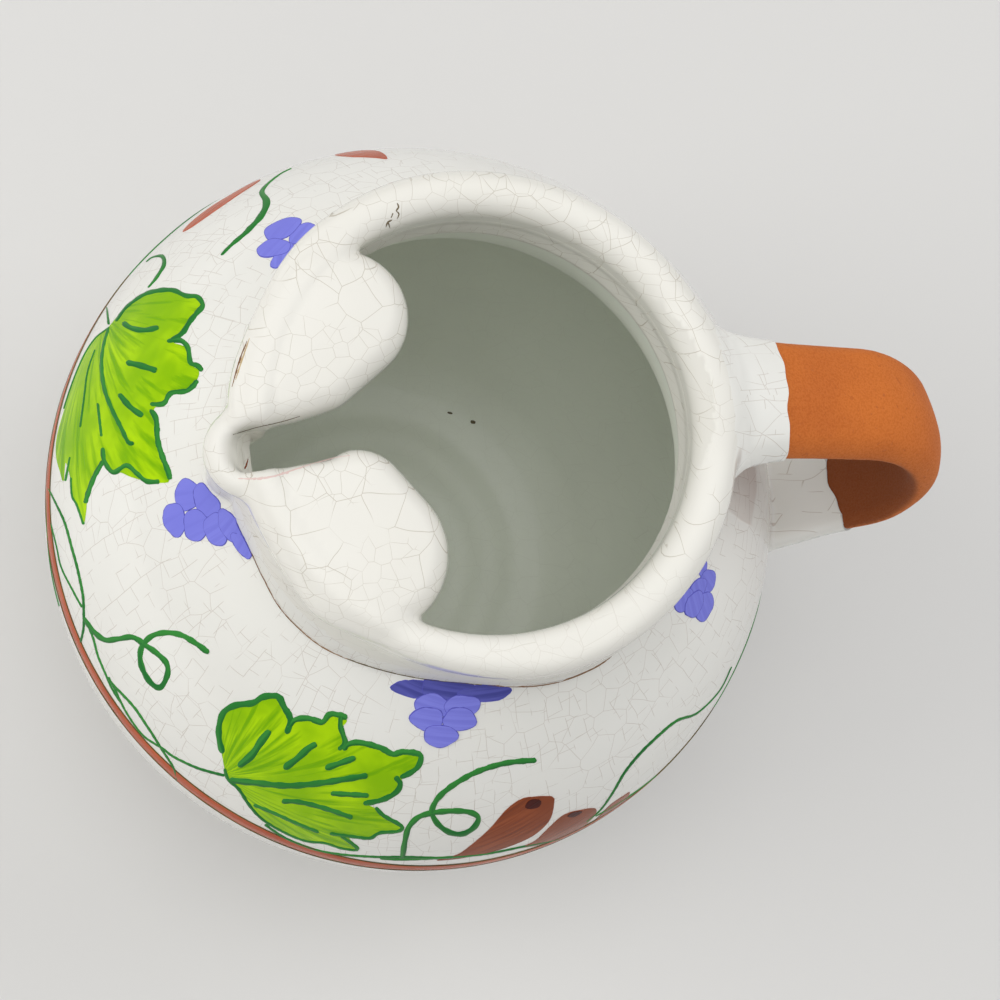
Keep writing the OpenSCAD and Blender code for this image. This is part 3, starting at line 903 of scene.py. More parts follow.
CRACKLE, CLAY, BRUSH = crackle_group(), clay_group(), brush_group()
WHITE_GLAZE = finish("white_glaze", CRACKLE, 0.2, 0.1,
                     {"Glaze": (0.83, 0.81, 0.745), "Stain": (0.42, 0.36, 0.27)},
                     {"Cracks": 0.75, "Gloss": 0.06})
BELLY_GLAZE = finish("belly_glaze", CRACKLE, 0.2, 0.1,
                     {"Glaze": (0.85, 0.84, 0.79), "Stain": (0.46, 0.38, 0.31)},
                     {"Cracks": 0.62, "Gloss": 0.06, "Bricks": 1.0})
# Painted light: the inside glaze is a lighter, greener copy of the white glaze, standing in for light
# bounced round the cavity and for the greenish tint of its shade.
INSIDE_GLAZE = finish("inside_glaze", CRACKLE, 0.2, 0.1,
                      {"Glaze": (0.97, 1.0, 0.905), "Stain": (0.7, 0.7, 0.62)},
                      {"Cracks": 0.25, "Gloss": 0.32})
RED_CLAY = finish("red_clay", CLAY, 0.5, 0.25,
                  {"Light clay": (0.62, 0.165, 0.024), "Dark clay": (0.40, 0.085, 0.014)}, {})
# The grip's clay darkens inside the loop: handling soil together with painted shade.
GRIP_CLAY = finish("grip_clay", CLAY, 0.5, 0.25,
                   {"Light clay": (0.62, 0.165, 0.024), "Dark clay": (0.40, 0.085, 0.014),
                    "Soiled and shaded clay": (0.20, 0.045, 0.008)}, {"Soil and shade in the loop": 0.85})
LEAF_GREEN = finish("leaf_green", BRUSH, 0.2, 0.15,
                    {"Thin": (0.45, 0.72, 0.006), "Thick": (0.14, 0.38, 0.003)}, {"Streaks": 0.9})
STEM_GREEN = finish("stem_green", BRUSH, 0.2, 0.12,
                    {"Thin": (0.045, 0.26, 0.045), "Thick": (0.012, 0.14, 0.03)}, {"Streaks": 0.8})
GRAPE_VIOLET = finish("grape_violet", BRUSH, 0.2, 0.12,
                      {"Thin": (0.235, 0.245, 0.77), "Thick": (0.135, 0.135, 0.59)}, {"Streaks": 0.4})
# Darker violet for painted shade on the dabs under the rim.
GRAPE_SHADED = finish("grape_painted_shade", BRUSH, 0.2, 0.12,
                    {"Thin": (0.115, 0.12, 0.46), "Thick": (0.055, 0.06, 0.27)}, {"Streaks": 0.8})
STRIPE_RED = finish("stripe_red", BRUSH, 0.2, 0.12,
                    {"Thin": (0.56, 0.115, 0.04), "Thick": (0.37, 0.06, 0.02)}, {"Streaks": 0.8})
BRICK_RED = finish("brick_red", BRUSH, 0.2, 0.12,
                   {"Thin": (0.34, 0.085, 0.03), "Thick": (0.12, 0.022, 0.009)}, {"Streaks": 0.6})
GRAPE_EDGE = finish("grape_edge", BRUSH, 0.2, 0.1,
                    {"Thin": (0.12, 0.12, 0.54), "Thick": (0.06, 0.055, 0.35)}, {"Streaks": 0.7})
STRIPE_EDGE = finish("stripe_edge", BRUSH, 0.2, 0.1,
                     {"Thin": (0.16, 0.11, 0.03), "Thick": (0.06, 0.05, 0.015)}, {"Streaks": 0.8})
DARK_SPOT = finish("dark_spot", BRUSH, 0.2, 0.1,
                   {"Thin": (0.09, 0.015, 0.012), "Thick": (0.03, 0.008, 0.006)}, {"Streaks": 0.6})
PINK_STAIN = finish("pink_stain", BRUSH, 0.1, 0.05,
                    {"Thin": (0.78, 0.64, 0.60), "Thick": (0.68, 0.44, 0.40)}, {"Streaks": 0.7})
SCAR_TAN = finish("scar_tan", CLAY, 0.4, 0.1,
                  {"Light clay": (0.62, 0.47, 0.26), "Dark clay": (0.40, 0.27, 0.13)}, {})
# Brown for the lobe's edge scar, also used as painted shade and reflection along the near crease.
SCAR_BROWN_AND_CREASE_SHADE = finish("scar_brown_and_painted_crease_shade", CLAY, 0.5, 0.1,
                    {"Light clay": (0.30, 0.16, 0.07), "Dark clay": (0.10, 0.05, 0.03)}, {})
# Dark grime for rim chips and floor specks, also used as painted shadow along creases.
GRIME_AND_CREASE_SHADE = finish("grime_and_painted_crease_shade", CLAY, 0.5, 0.1,
                   {"Light clay": (0.17, 0.13, 0.07), "Dark clay": (0.07, 0.055, 0.035)}, {})


# Painting on the outside of the pot

WIDEST = int(np.argmin(np.abs(OUTSIDE[:, 1] - BELLY_H)))
UP_WALL = np.concatenate([[0.0], np.cumsum(np.hypot(*np.diff(OUTSIDE, axis=0).T))])
UP_WALL -= UP_WALL[WIDEST]


# Height of the crease between the shoulder and the neck, where the painting stops
CREASE_Z = 142.4

# Step along the wall for its slope, and the distances at which a line of sight is tried
WALL_STEP = 0.2
SIGHT = np.linspace(360.0, 600.0, 2400)
ABOVE_NECK = 50.0

# Above this height the painting follows the finished skin, which leaves the plain wall there
SETTLE_Z = 134.0


def on_pot(turn, up, lift):
    """Points of the pot's outside by angle in degrees, distance up the wall and lift off it."""
    r = np.interp(up, UP_WALL, OUTSIDE[:, 0])
    z = np.interp(up, UP_WALL, OUTSIDE[:, 1])
    ahead, behind = up + WALL_STEP, up - WALL_STEP
    dr = np.interp(ahead, UP_WALL, OUTSIDE[:, 0]) - np.interp(behind, UP_WALL, OUTSIDE[:, 0])
    dz = np.interp(ahead, UP_WALL, OUTSIDE[:, 1]) - np.interp(behind, UP_WALL, OUTSIDE[:, 1])
    long = np.hypot(dr, dz)
    c, s = np.cos(np.radians(turn)), np.sin(np.radians(turn))
    place = np.stack([r * c, r * s, z], -1)
    square = np.stack([dz / long * c, dz / long * s, -dr / long], -1)
    high = z > SETTLE_Z
    if high.any():
        near = place[high]
        for _ in range(SETTLE_STEPS):
            move, grad = to_skin(glazed_pot, near)
            near = near - move
        place[high] = near
        square[high] = grad / np.maximum(np.linalg.norm(grad, axis=1), 1e-6)[:, None]
    return place + lift * square


def from_photo(pixels):
    """Angle and distance up the wall of the places that the photograph shows at these pixels."""
    p = (np.asarray(pixels, float) - FRAME_MIDDLE_PX) / CAM_FOCAL_PX
    rays = p[:, :1] * CAM_RIGHT + p[:, 1:] * CAM_DOWN + CAM_AHEAD
    found = []
    for ray in rays:
        track = CAM_PLACE + ray * SIGHT[:, None]
        gap = np.hypot(track[:, 0], track[:, 1]) - np.interp(track[:, 2], OUTSIDE[:, 1], OUTSIDE[:, 0])
        gap = np.where(track[:, 2] > NECK_TOP, np.abs(gap) + ABOVE_NECK, gap)
        inside = gap < 0.0
        hit = track[int(np.argmax(inside))] if inside.any() else track[int(np.argmin(gap))]
        up = np.interp(min(hit[2], CREASE_Z), OUTSIDE[:, 1], UP_WALL)
        found.append((math.degrees(math.atan2(hit[1], hit[0])), up))
    found = np.array(found)
    found[:, 0] = np.degrees(np.unwrap(np.radians(found[:, 0])))
    return found


def flowing(points, step, closed=False):
    """A smooth line through the points, with a point about every step."""
    points = np.asarray(points, float)
    n = len(points)
    rows = []
    for i in range(n if closed else n - 1):
        near = [points[(i + k) % n] if closed else points[min(max(i + k, 0), n - 1)] for k in (-1, 0, 1, 2)]
        count = max(2, int(math.ceil(np.hypot(*(near[2] - near[1])) / step)))
        for u in np.arange(count) / count:
            rows.append(0.5 * (
                2 * near[1] + (near[2] - near[0]) * u
                + (2 * near[0] - 5 * near[1] + 4 * near[2] - near[3]) * u**2
                + (3 * near[1] - near[0] - 3 * near[2] + near[3]) * u**3
            ))
    if not closed:
        rows.append(points[-1])
    return np.array(rows)


class Painting:
    """Collects strokes and dabs of one colour into one piece."""

    def __init__(self, name, material):
        self.name, self.material = name, material
        self.points, self.faces, self.brush = [], [], []

    def put(self, points, faces, brush):
        start = len(self.points)
        self.points += [tuple(p) for p in points]
        self.faces += [tuple(start + k for k in f) for f in faces]
        self.brush += [tuple(b) for b in brush]

    def piece(self):
        mesh = bpy.data.meshes.new(self.name)
        mesh.from_pydata((np.array(self.points) * MM).tolist(), [], self.faces)
        layer = mesh.uv_layers.new(name="brush")
        for loop in mesh.loops:
            layer.data[loop.index].uv = self.brush[loop.vertex_index]
        mesh.materials.append(self.material)
        mesh.shade_smooth()
        made = bpy.data.objects.new(self.name, mesh)
        bpy.context.collection.objects.link(made)
        return made


PX_PER_MM = 4.6

# How much wider a stroke may get where the photograph sees the wall edge on
STRETCH = 2.0

# How far a leaf's brush streaks fan out from its stalk, and how deep a patch's edge goes into the skin
FAN_SPREAD = 14.0
EDGE_DEPTH = 0.1

# A stroke's section: places across it, and lift off the wall
STROKE_ACROSS = (-1.0, -0.72, 0.0, 0.72, 1.0)
STROKE_LIFT = (-0.06, 0.13, 0.2, 0.13, -0.06)


def stroke_half(along, width):
    """Half width along a stroke: round ends and a slight swell and fall."""
    from_ends = np.minimum(along, along[-1] - along)
    full = np.clip(from_ends / (0.5 * width), 0.0, 1.0)
    half = 0.5 * width * (0.35 + 0.65 * np.sqrt(1.0 - (1.0 - full) ** 2))
    return half * (1.0 + 0.1 * np.sin(along * 2.6 / width + 1.3 * len(along)))


def run_of(line):
    """Direction of a line at each of its points, and the distance along it."""
    way = np.gradient(line, axis=0)
    way /= np.maximum(np.hypot(*way.T), 1e-6)[:, None]
    return way, np.concatenate([[0.0], np.cumsum(np.hypot(*np.diff(line, axis=0).T))])


def lay_stroke(paint, rows, along, half):
    """Join the rows of a stroke, from one side of it to the other, into a ribbon."""
    n, count = len(STROKE_ACROSS), len(along)
    points = np.stack(rows, 1).reshape(-1, 3)
    brush = [(a, k * h) for a, h in zip(along, half) for k in STROKE_ACROSS]
    faces = []
    for i in range(count - 1):
        for k in range(n - 1):
            a = i * n + k
            faces.append((a, a + n, a + n + 1, a + 1))
    paint.put(points, faces, brush)


def stroke(paint, line, width):
    """A line of colour with rounded edges; line holds angle and distance up the wall."""
    line = np.asarray(line, float)
    r = np.interp(line[:, 1], UP_WALL, OUTSIDE[:, 0])
    way, along = run_of(np.stack([np.radians(line[:, 0]) * r, line[:, 1]], 1))
    half = stroke_half(along, width)
    rows = []
    for across, rise in zip(STROKE_ACROSS, STROKE_LIFT):
        turn = line[:, 0] - np.degrees(way[:, 1] * across * half / r)
        rows.append(on_pot(turn, line[:, 1] + way[:, 0] * across * half, rise))
    lay_stroke(paint, rows, along, half)


def photo_stroke(paint, pixels, width, lift, press=(1.0, 1.0)):
    """A line of colour as wide as the photograph shows it; pixels run along it, width is in pixels."""
    way, along = run_of(pixels)
    pressed = np.interp(along / along[-1], np.linspace(0.0, 1.0, len(press)), press)
    half = stroke_half(along, width) * pressed
    side = np.stack([way[:, 1], -way[:, 0]], 1)
    middle = from_photo(pixels)
    scale = np.stack([np.radians(np.interp(middle[:, 1], UP_WALL, OUTSIDE[:, 0])), np.ones(len(middle))], 1)
    rows = []
    for across, rise in zip(STROKE_ACROSS, STROKE_LIFT):
        aside = from_photo(pixels + side * (across * half)[:, None]) - middle
        aside[:, 0] = (aside[:, 0] + 180.0) % 360.0 - 180.0
        widest = STRETCH * abs(across) * half / PX_PER_MM
        kept = np.minimum(1.0, widest / np.maximum(np.hypot(*(aside * scale).T), 1e-6))
        place = middle + aside * kept[:, None]
        rows.append(on_pot(place[:, 0], place[:, 1], lift + rise))
    lay_stroke(paint, rows, along / PX_PER_MM, half / PX_PER_MM)


def patch(paint, outline, lift, brush_turn=0.0, grain=1.6, fan=None):
    """A filled shape of colour; outline holds angle and distance up the wall."""
    outline = np.asarray(outline, float)
    middle = outline.mean(0)
    scale = np.array([math.pi / 180.0 * np.interp(middle[1], UP_WALL, OUTSIDE[:, 0]), 1.0])
    edge = (outline - middle) * scale
    low, high = edge.min(0), edge.max(0)
    xs, ys = np.meshgrid(np.arange(low[0], high[0], grain), np.arange(low[1], high[1], grain))
    inner = [p for p in np.stack([xs.ravel(), ys.ravel()], 1) if inside_outline(p, edge)]
    loop = [(i, (i + 1) % len(edge)) for i in range(len(edge))]
    flat, _, faces, *_ = delaunay_2d_cdt(
        [Vector(p) for p in list(edge) + inner], loop, [], 1, 1e-5
    )
    flat = np.array([tuple(v) for v in flat])
    place = flat / scale + middle
    if fan is None:
        c, s = math.cos(brush_turn), math.sin(brush_turn)
        brush = [(c * p[0] + s * p[1], -s * p[0] + c * p[1]) for p in flat]
    else:
        spokes = flat - (np.asarray(fan) - middle) * scale
        brush = [(math.hypot(*p), FAN_SPREAD * math.atan2(p[1], p[0])) for p in spokes]
    paint.put(on_pot(place[:, 0], place[:, 1], lift), [f for f in faces], brush)
    n = len(outline)
    skirt = np.concatenate([on_pot(*outline.T, lift), on_pot(*outline.T, -EDGE_DEPTH)])
    sides = [(i, (i + 1) % n, n + (i + 1) % n, n + i) for i in range(n)]
    paint.put(skirt, sides, [(0.0, 0.0)] * (2 * n))


def inside_outline(p, edge):
    """True for a point that the closed outline goes round."""
    odd = False
    for a, b in zip(edge, np.roll(edge, -1, axis=0)):
        if (a[1] > p[1]) != (b[1] > p[1]):
            if p[0] < a[0] + (p[1] - a[1]) * (b[0] - a[0]) / (b[1] - a[1]):
                odd = not odd
    return odd


def zoomed(points, corner, times):
    """Pixels of the photograph from points read off an enlarged cut-out of it."""
    return np.array(corner) + np.asarray(points, float) / times


# Lines read off enlarged cut-outs: the cut-out's corner in the photograph and its enlargement
FRONT_CUT = ((100, 640), 4.612)
LEFT_CUT = ((40, 150), 5.407)
LOW_LEFT_CUT = ((40, 430), 6.031)
RIGHT_CUT = ((380, 640), 4.126)

FRONT_LEAF = [
    (575, 590), (556, 470), (552, 390), (580, 330), (640, 300), (705, 290), (760, 262), (820, 262),
    (850, 310), (876, 370), (866, 425), (882, 390), (915, 366), (970, 362), (1025, 380), (1060, 345),
    (1110, 345), (1140, 370), (1115, 410), (1130, 482), (1150, 490), (1210, 475), (1300, 500),
    (1360, 530), (1420, 525), (1480, 530), (1470, 580), (1395, 635), (1385, 680), (1340, 725),
    (1230, 752), (1280, 780), (1385, 860), (1370, 882), (1290, 890), (1240, 918), (1150, 905),
    (1180, 960), (1120, 962), (1040, 935), (950, 925), (850, 885), (750, 825), (690, 760), (640, 690),
    (595, 650),
]
FRONT_LEAF_LINES = [
    (26, [(568, 520), (552, 460), (552, 390), (575, 330), (630, 300), (705, 290), (755, 262), (820, 260),
          (848, 305), (878, 365), (862, 430)]),
    (24, [(868, 402), (900, 368), (960, 360), (1025, 378), (1060, 342), (1105, 345), (1140, 360)]),
    (22, [(1112, 350), (1110, 400), (1130, 470), (1100, 503)]),
    (24, [(1125, 505), (1145, 480), (1200, 472), (1290, 495), (1350, 525), (1400, 515), (1475, 528),
          (1470, 575), (1440, 605), (1385, 632)]),
    (24, [(1360, 628), (1384, 660), (1365, 700), (1300, 735), (1215, 752)]),
    (16, [(1270, 770), (1310, 810), (1390, 857), (1375, 880), (1290, 888), (1245, 912), (1170, 905),
          (1060, 890)]),
    (15, [(1110, 900), (1188, 962), (1120, 960), (1040, 935), (950, 925), (850, 885), (750, 825),
          (690, 760), (640, 685), (592, 640), (576, 590)]),
    (28, [(598, 645), (700, 655), (860, 670), (1000, 660), (1130, 640), (1235, 622)]),
    (34, [(640, 580), (700, 530), (745, 465), (785, 415)]),
    (31, [(850, 590), (910, 545), (960, 500), (1000, 475)]),
    (28, [(1040, 590), (1110, 565), (1180, 540)]),
    (24, [(1065, 705), (1150, 710), (1240, 715)]),
    (22, [(840, 742), (920, 745), (1040, 775), (1165, 818)]),
    (17, [(710, 758), (800, 795), (900, 840), (1010, 885)]),
]
LEFT_LEAF = [
    (375, 955), (440, 880), (560, 790), (700, 765), (800, 798), (868, 812), (855, 880), (800, 960),
    (720, 1035), (790, 1070), (820, 1160), (862, 1195), (850, 1245), (790, 1300), (710, 1325),
    (640, 1380), (615, 1420), (640, 1540), (665, 1640), (703, 1780), (660, 1800), (590, 1795),
    (500, 1770), (440, 1745), (398, 1740), (350, 1680), (305, 1755), (262, 1870), (238, 2020),
    (200, 1930), (170, 1850), (165, 1770), (140, 1690), (128, 1790), (110, 1740), (88, 1650), (95, 1540),
    (135, 1400), (185, 1250), (245, 1110), (305, 1020),
]
LEFT_LEAF_LINES = [
    (24, [(412, 928), (470, 850), (560, 785), (640, 762), (720, 760), (790, 790), (850, 795), (880, 840),
          (850, 880), (810, 930), (770, 990), (700, 1040)]),
    (24, [(690, 1035), (760, 1030), (800, 1070), (815, 1150), (850, 1165), (880, 1195)]),
    (24, [(855, 1245), (800, 1300), (710, 1315), (670, 1370), (600, 1375)]),
    (26, [(600, 1405), (630, 1460), (636, 1560), (660, 1650), (690, 1725), (706, 1782)]),
    (24, [(342, 1610), (350, 1680), (398, 1742), (470, 1706), (525, 1748), (578, 1790), (650, 1792)]),
    (22, [(345, 1680), (300, 1755), (264, 1845), (246, 1910)]),
    (12, [(165, 1660), (138, 1790)]),
    (12, [(170, 1770), (176, 1870), (202, 1920), (238, 2025)]),
    (22, [(375, 958), (345, 1060), (335, 1170), (350, 1290), (390, 1400), (440, 1500), (480, 1580),
          (512, 1585)]),
    (28, [(450, 935), (500, 965), (570, 975), (645, 960)]),
    (32, [(470, 1150), (540, 1165), (635, 1195)]),
    (30, [(430, 1320), (490, 1390), (560, 1440)]),
    (12, [(300, 1080), (260, 1200), (240, 1350), (220, 1500)]),
    (14, [(315, 1370), (325, 1460), (335, 1550)]),
    (12, [(370, 965), (300, 1020), (240, 1110), (180, 1250), (130, 1400)]),
    (16, [(362, 850), (372, 945)]),
]
LOW_LEFT_LINES = [
    (29, [(262, 1130), (320, 1210), (390, 1265), (470, 1260), (560, 1250), (640, 1300), (710, 1350),
          (765, 1410), (768, 1480), (725, 1552), (665, 1520), (615, 1430), (605, 1350), (625, 1290),
          (680, 1240), (760, 1222), (850, 1235), (940, 1285), (1020, 1345)]),
    (16, [(50, 350), (100, 450), (150, 560), (190, 700), (230, 850), (260, 1000), (265, 1120),
          (263, 1200), (245, 1280)]),
    (12, [(65, 560), (100, 700), (130, 830), (200, 970), (255, 1070)]),
    (14, [(270, 1130), (320, 1250), (350, 1360), (400, 1480), (440, 1568), (500, 1660)]),
]
FRONT_LINES = [
    (12, [(40, 170), (60, 205), (150, 300), (220, 400), (290, 510), (340, 590), (355, 645)]),
    (11, [(60, 205), (120, 330), (200, 440), (290, 500), (340, 538), (450, 590), (575, 625)]),
    (14, [(760, 850), (860, 915), (1000, 968), (1130, 990), (1280, 1000), (1400, 1000), (1568, 1005)]),
]
RIGHT_LINES = [
    (20, [(92, 900), (105, 820), (120, 770), (160, 730), (220, 712), (300, 705), (370, 710), (405, 732),
          (390, 770), (340, 800), (280, 790), (232, 750), (215, 700), (250, 640), (330, 580), (420, 535),
          (530, 505), (645, 495)]),
    (12, [(1450, 110), (1400, 210), (1310, 300), (1230, 330), (1170, 375), (1080, 460), (1010, 545),
          (960, 630), (910, 700), (850, 750)]),
    (14, [(0, 900), (100, 905), (300, 895), (450, 880), (600, 850), (740, 820), (820, 785)]),
]
FAR_LINES = [
    (28, [(1360, 100), (1300, 130), (1230, 185), (1200, 230), (1225, 280), (1200, 350), (1120, 440),
          (1040, 510), (980, 570)], (0.3, 0.7, 1.2, 0.9, 0.7, 0.4)),
    (24, [(575, 605), (610, 580), (660, 575), (670, 620), (630, 690),
          (585, 745)], (0.4, 0.8, 1.0, 0.8, 0.4)),
]
PETALS = [
    [(235, 908), (310, 888), (360, 858), (450, 780), (520, 700), (580, 656), (640, 645), (710, 645),
     (718, 670), (700, 740), (640, 800), (560, 840), (450, 876), (330, 900)],
    [(580, 855), (640, 828), (700, 770), (760, 720), (830, 700), (890, 695), (880, 730), (820, 780),
     (740, 818), (650, 845)],
    [(845, 786), (900, 730), (950, 680), (1000, 645), (1030, 628), (1010, 665), (960, 710), (900, 758)],
]
PETAL_SPOTS = [
    [(598, 688), (612, 662), (640, 654), (664, 662), (656, 684), (622, 694)],
    [(772, 726), (795, 708), (832, 704), (822, 716), (795, 728)],
]
FAR_PETAL = [
    (772, 442), (830, 380), (930, 305), (1040, 238), (1140, 182), (1190, 165), (1060, 252), (930, 342),
    (830, 412),
]

# Second petal of the far side: its edge that shows, and how far it goes on down behind the belly
SECOND_FAR_PETAL = [(340, 156.0), (352, 157.0), (364, 157.3), (376, 158.0), (387.5, 158.8)]
SECOND_FAR_DEPTH = (5.0, 12.0, 15.0, 14.0, 9.0)

# Grape bunches as the photograph shows them: middle, half length, half width and turn of each dab
BUNCHES = [
    [(187.5, 495, 16, 12.5, 95), (175, 519.5, 17, 11, 80), (207, 501, 18.5, 11.5, 62),
     (196.5, 525, 16, 12.5, 85), (217, 529, 16.5, 12, 80), (230, 526, 18, 9, 62),
     (242, 545, 15, 6.5, 55)],
    [(415, 690, 24, 8, 10), (448, 690, 27, 11, 3), (485, 693, 27, 8, -6), (432.5, 705, 18, 11, 8),
     (462, 706, 18, 11, -8), (427, 718, 16.5, 11.5, 0), (459.5, 718.5, 16.5, 11.5, 0),
     (440.5, 735, 17, 11, 0)],
    [(303, 233.5, 15.5, 8.5, -28), (282.5, 229, 19.5, 9, -24), (283, 256, 15.5, 7, -48),
     (274, 248.5, 17, 8.5, -11)],
    [(702.5, 567, 9, 4, 95), (707.5, 581, 12, 7.5, 100), (698, 588, 11, 7, 120), (684, 600, 13, 8, 118),
     (703.5, 606, 15, 8.5, 105), (693.5, 604, 14, 8, 112)],
]

# Dabs painted darker up against the rim, as painted shade under it: bunch, and place in it
SHADED_DABS = {(1, 0), (1, 1), (1, 2)}

# The bunch behind the handle: its angle and height up the wall, the wall's radius there, and its dabs
HIDDEN_BUNCH = (42.0, 65.0)
HIDDEN_R = 66.0
DABS = [
    (0.0, -7.2), (-4.4, -3.2), (4.3, -3.4), (0.2, -1.2), (-6.4, 1.6), (6.2, 1.2), (-2.6, 3.0), (2.8, 3.4),
    (-5.0, 6.2), (4.8, 6.4), (0.0, 7.4),
]
DAB_R = 3.0

# Lift of the painted colours off the wall
LEAF_LIFT = 0.1
LEAF_LINE_LIFT = 0.06
PETAL_LIFT = 0.12
SPOT_LIFT = 0.2
GRAPE_LIFT = 0.08

# Points round a grape, and width of its edge in pixels
GRAPE_SIDES = 28
GRAPE_EDGE_PX = 1.3

# Lines are drawn a little wider than they were read
LEAF_LINE_GAIN = 1.2
STEM_GAIN = 1.3

# Steps along lines and outlines, in pixels of the enlarged cut-outs
LINE_STEP = 9.0
LEAF_STEP = 16.0
PETAL_STEP = 14.0


def photo_lines(paint, lines, cut, thicker=1.0, lift=0.0):
    """Strokes along the lines of one cut-out; each holds its width, its points and how it is pressed."""
    corner, times = cut
    for width, points, *press in lines:
        pixels = zoomed(flowing(points, LINE_STEP), corner, times)
        photo_stroke(paint, pixels, thicker * width / times, lift, *press)


def paint_leaves():
    fill, lines = Painting("leaf_fills", LEAF_GREEN), Painting("leaf_lines", STEM_GREEN)
    for outline, strokes, cut, stalk in (
        (FRONT_LEAF, FRONT_LEAF_LINES, FRONT_CUT, (560, 620)),
        (LEFT_LEAF, LEFT_LEAF_LINES, LEFT_CUT, (365, 900)),
    ):
        edge = from_photo(zoomed(flowing(outline, LEAF_STEP, closed=True), *cut))
        patch(fill, edge, LEAF_LIFT, fan=from_photo(zoomed([stalk], *cut))[0])
        photo_lines(lines, strokes, cut, LEAF_LINE_GAIN, LEAF_LINE_LIFT)
    return fill.piece(), lines.piece()


# The vine's course where the photograph does not show it: height above the widest line, sinking behind
VINE_UP = 14.0
VINE_SINK = 7.0
VINE_WAVE = 3.5
VINE_W = 0.8


def paint_stems():
    stems = Painting("vine_and_tendrils", STEM_GREEN)
    for lines, cut in (
        (LOW_LEFT_LINES, LOW_LEFT_CUT), (FRONT_LINES, FRONT_CUT), (RIGHT_LINES, RIGHT_CUT),
        (FAR_LINES, LEFT_CUT),
    ):
        photo_lines(stems, lines, cut, STEM_GAIN)
    around = np.linspace(-70.0, 190.0, 400)
    for side in (around[around < -14.0], around[around > 12.0]):
        up = VINE_UP - VINE_SINK * ease((side - 120.0) / 30.0) + VINE_WAVE * np.sin(np.radians(side) * 9.0)
        stroke(stems, np.stack([side, up], 1), VINE_W)
    return stems.piece()


def paint_petals():
    petals, spots = Painting("brick_petals", BRICK_RED), Painting("petal_spots", DARK_SPOT)
    far = Painting("far_petals", STRIPE_RED)
    for outlines, paint, lift in ((PETALS, petals, PETAL_LIFT), (PETAL_SPOTS, spots, SPOT_LIFT)):
        for outline in outlines:
            edge = from_photo(zoomed(flowing(outline, PETAL_STEP, closed=True), *RIGHT_CUT))
            patch(paint, edge, lift, 0.6, 1.0)
    edge = from_photo(zoomed(flowing(FAR_PETAL, PETAL_STEP, closed=True), *LEFT_CUT))
    patch(far, edge, PETAL_LIFT, 0.3, 1.0)
    shown = from_photo(SECOND_FAR_PETAL)
    hidden = shown - np.stack([0.0 * shown[:, 0], SECOND_FAR_DEPTH], 1)
    edge = flowing(np.concatenate([shown, hidden[::-1]]), 1.0, closed=True)
    patch(far, edge, PETAL_LIFT, 0.3, 1.0)
    return petals.piece(), spots.piece(), far.piece()


def paint_grapes():
    dabs, edges = Painting("grape_dabs", GRAPE_VIOLET), Painting("grape_edges", GRAPE_EDGE)
    deep = Painting("grape_dabs_in_painted_shade", GRAPE_SHADED)
    angles = np.linspace(0.0, 2.0 * math.pi, GRAPE_SIDES, endpoint=False)
    for b, bunch in enumerate(BUNCHES):
        for k, (x, y, long, wide, turn) in enumerate(bunch):
            # Dabs under the rim take the darker violet, as painted shade.
            paint = deep if (b, k) in SHADED_DABS else dabs
            rough = 1.0 + 0.05 * np.sin(3.0 * angles + 2.1 * k) + 0.03 * np.sin(5.0 * angles + k)
            c, s = math.cos(math.radians(turn)), math.sin(math.radians(turn))
            u, v = long * rough * np.cos(angles), wide * rough * np.sin(angles)
            ring = np.stack([x + c * u - s * v, y + s * u + c * v], 1)
            patch(paint, from_photo(ring), GRAPE_LIFT + 0.03 * k, math.radians(-turn), 1.0)
            photo_stroke(edges, np.concatenate([ring, ring[:2]]), GRAPE_EDGE_PX, 0.03 * k - 0.1)
    spots = np.array(DABS) / np.array([math.radians(1.0) * HIDDEN_R, 1.0]) + np.array(HIDDEN_BUNCH)
    for k, (turn, up) in enumerate(spots):
        r = np.interp(up, UP_WALL, OUTSIDE[:, 0])
        ring = np.stack([turn + np.degrees(DAB_R * np.cos(angles) / r), up + DAB_R * np.sin(angles)], 1)
        patch(dabs, ring, GRAPE_LIFT + 0.012 * k, 1.2 * k, 1.1)
    return dabs.piece(), deep.piece(), edges.piece()


# The brush spread the stripe, and its outlines are thin
STRIPE_SPREAD = 1.4
STRIPE_EDGE_W = 0.55


def paint_stripe():
    stripe, edges = Painting("salmon_stripe", STRIPE_RED), Painting("stripe_edges", STRIPE_EDGE)
    mid = float(np.interp(STRIPE_H, OUTSIDE[:, 1], UP_WALL)) - 0.6
    around = np.linspace(11.0, 339.0, 700)
    course = mid + 0.7 * np.sin(np.radians(around) * 2.0 + 0.6)
    stroke(stripe, np.stack([around, course], 1), STRIPE_W + STRIPE_SPREAD)
    for side, wave in ((1.0, 5.0), (-1.0, 7.0)):
        edge = course + side * (STRIPE_W / 2.0 + 0.6) + 0.3 * np.sin(np.radians(around) * wave)
        stroke(edges, np.stack([around, edge], 1), STRIPE_EDGE_W)
    return stripe.piece(), edges.piece()


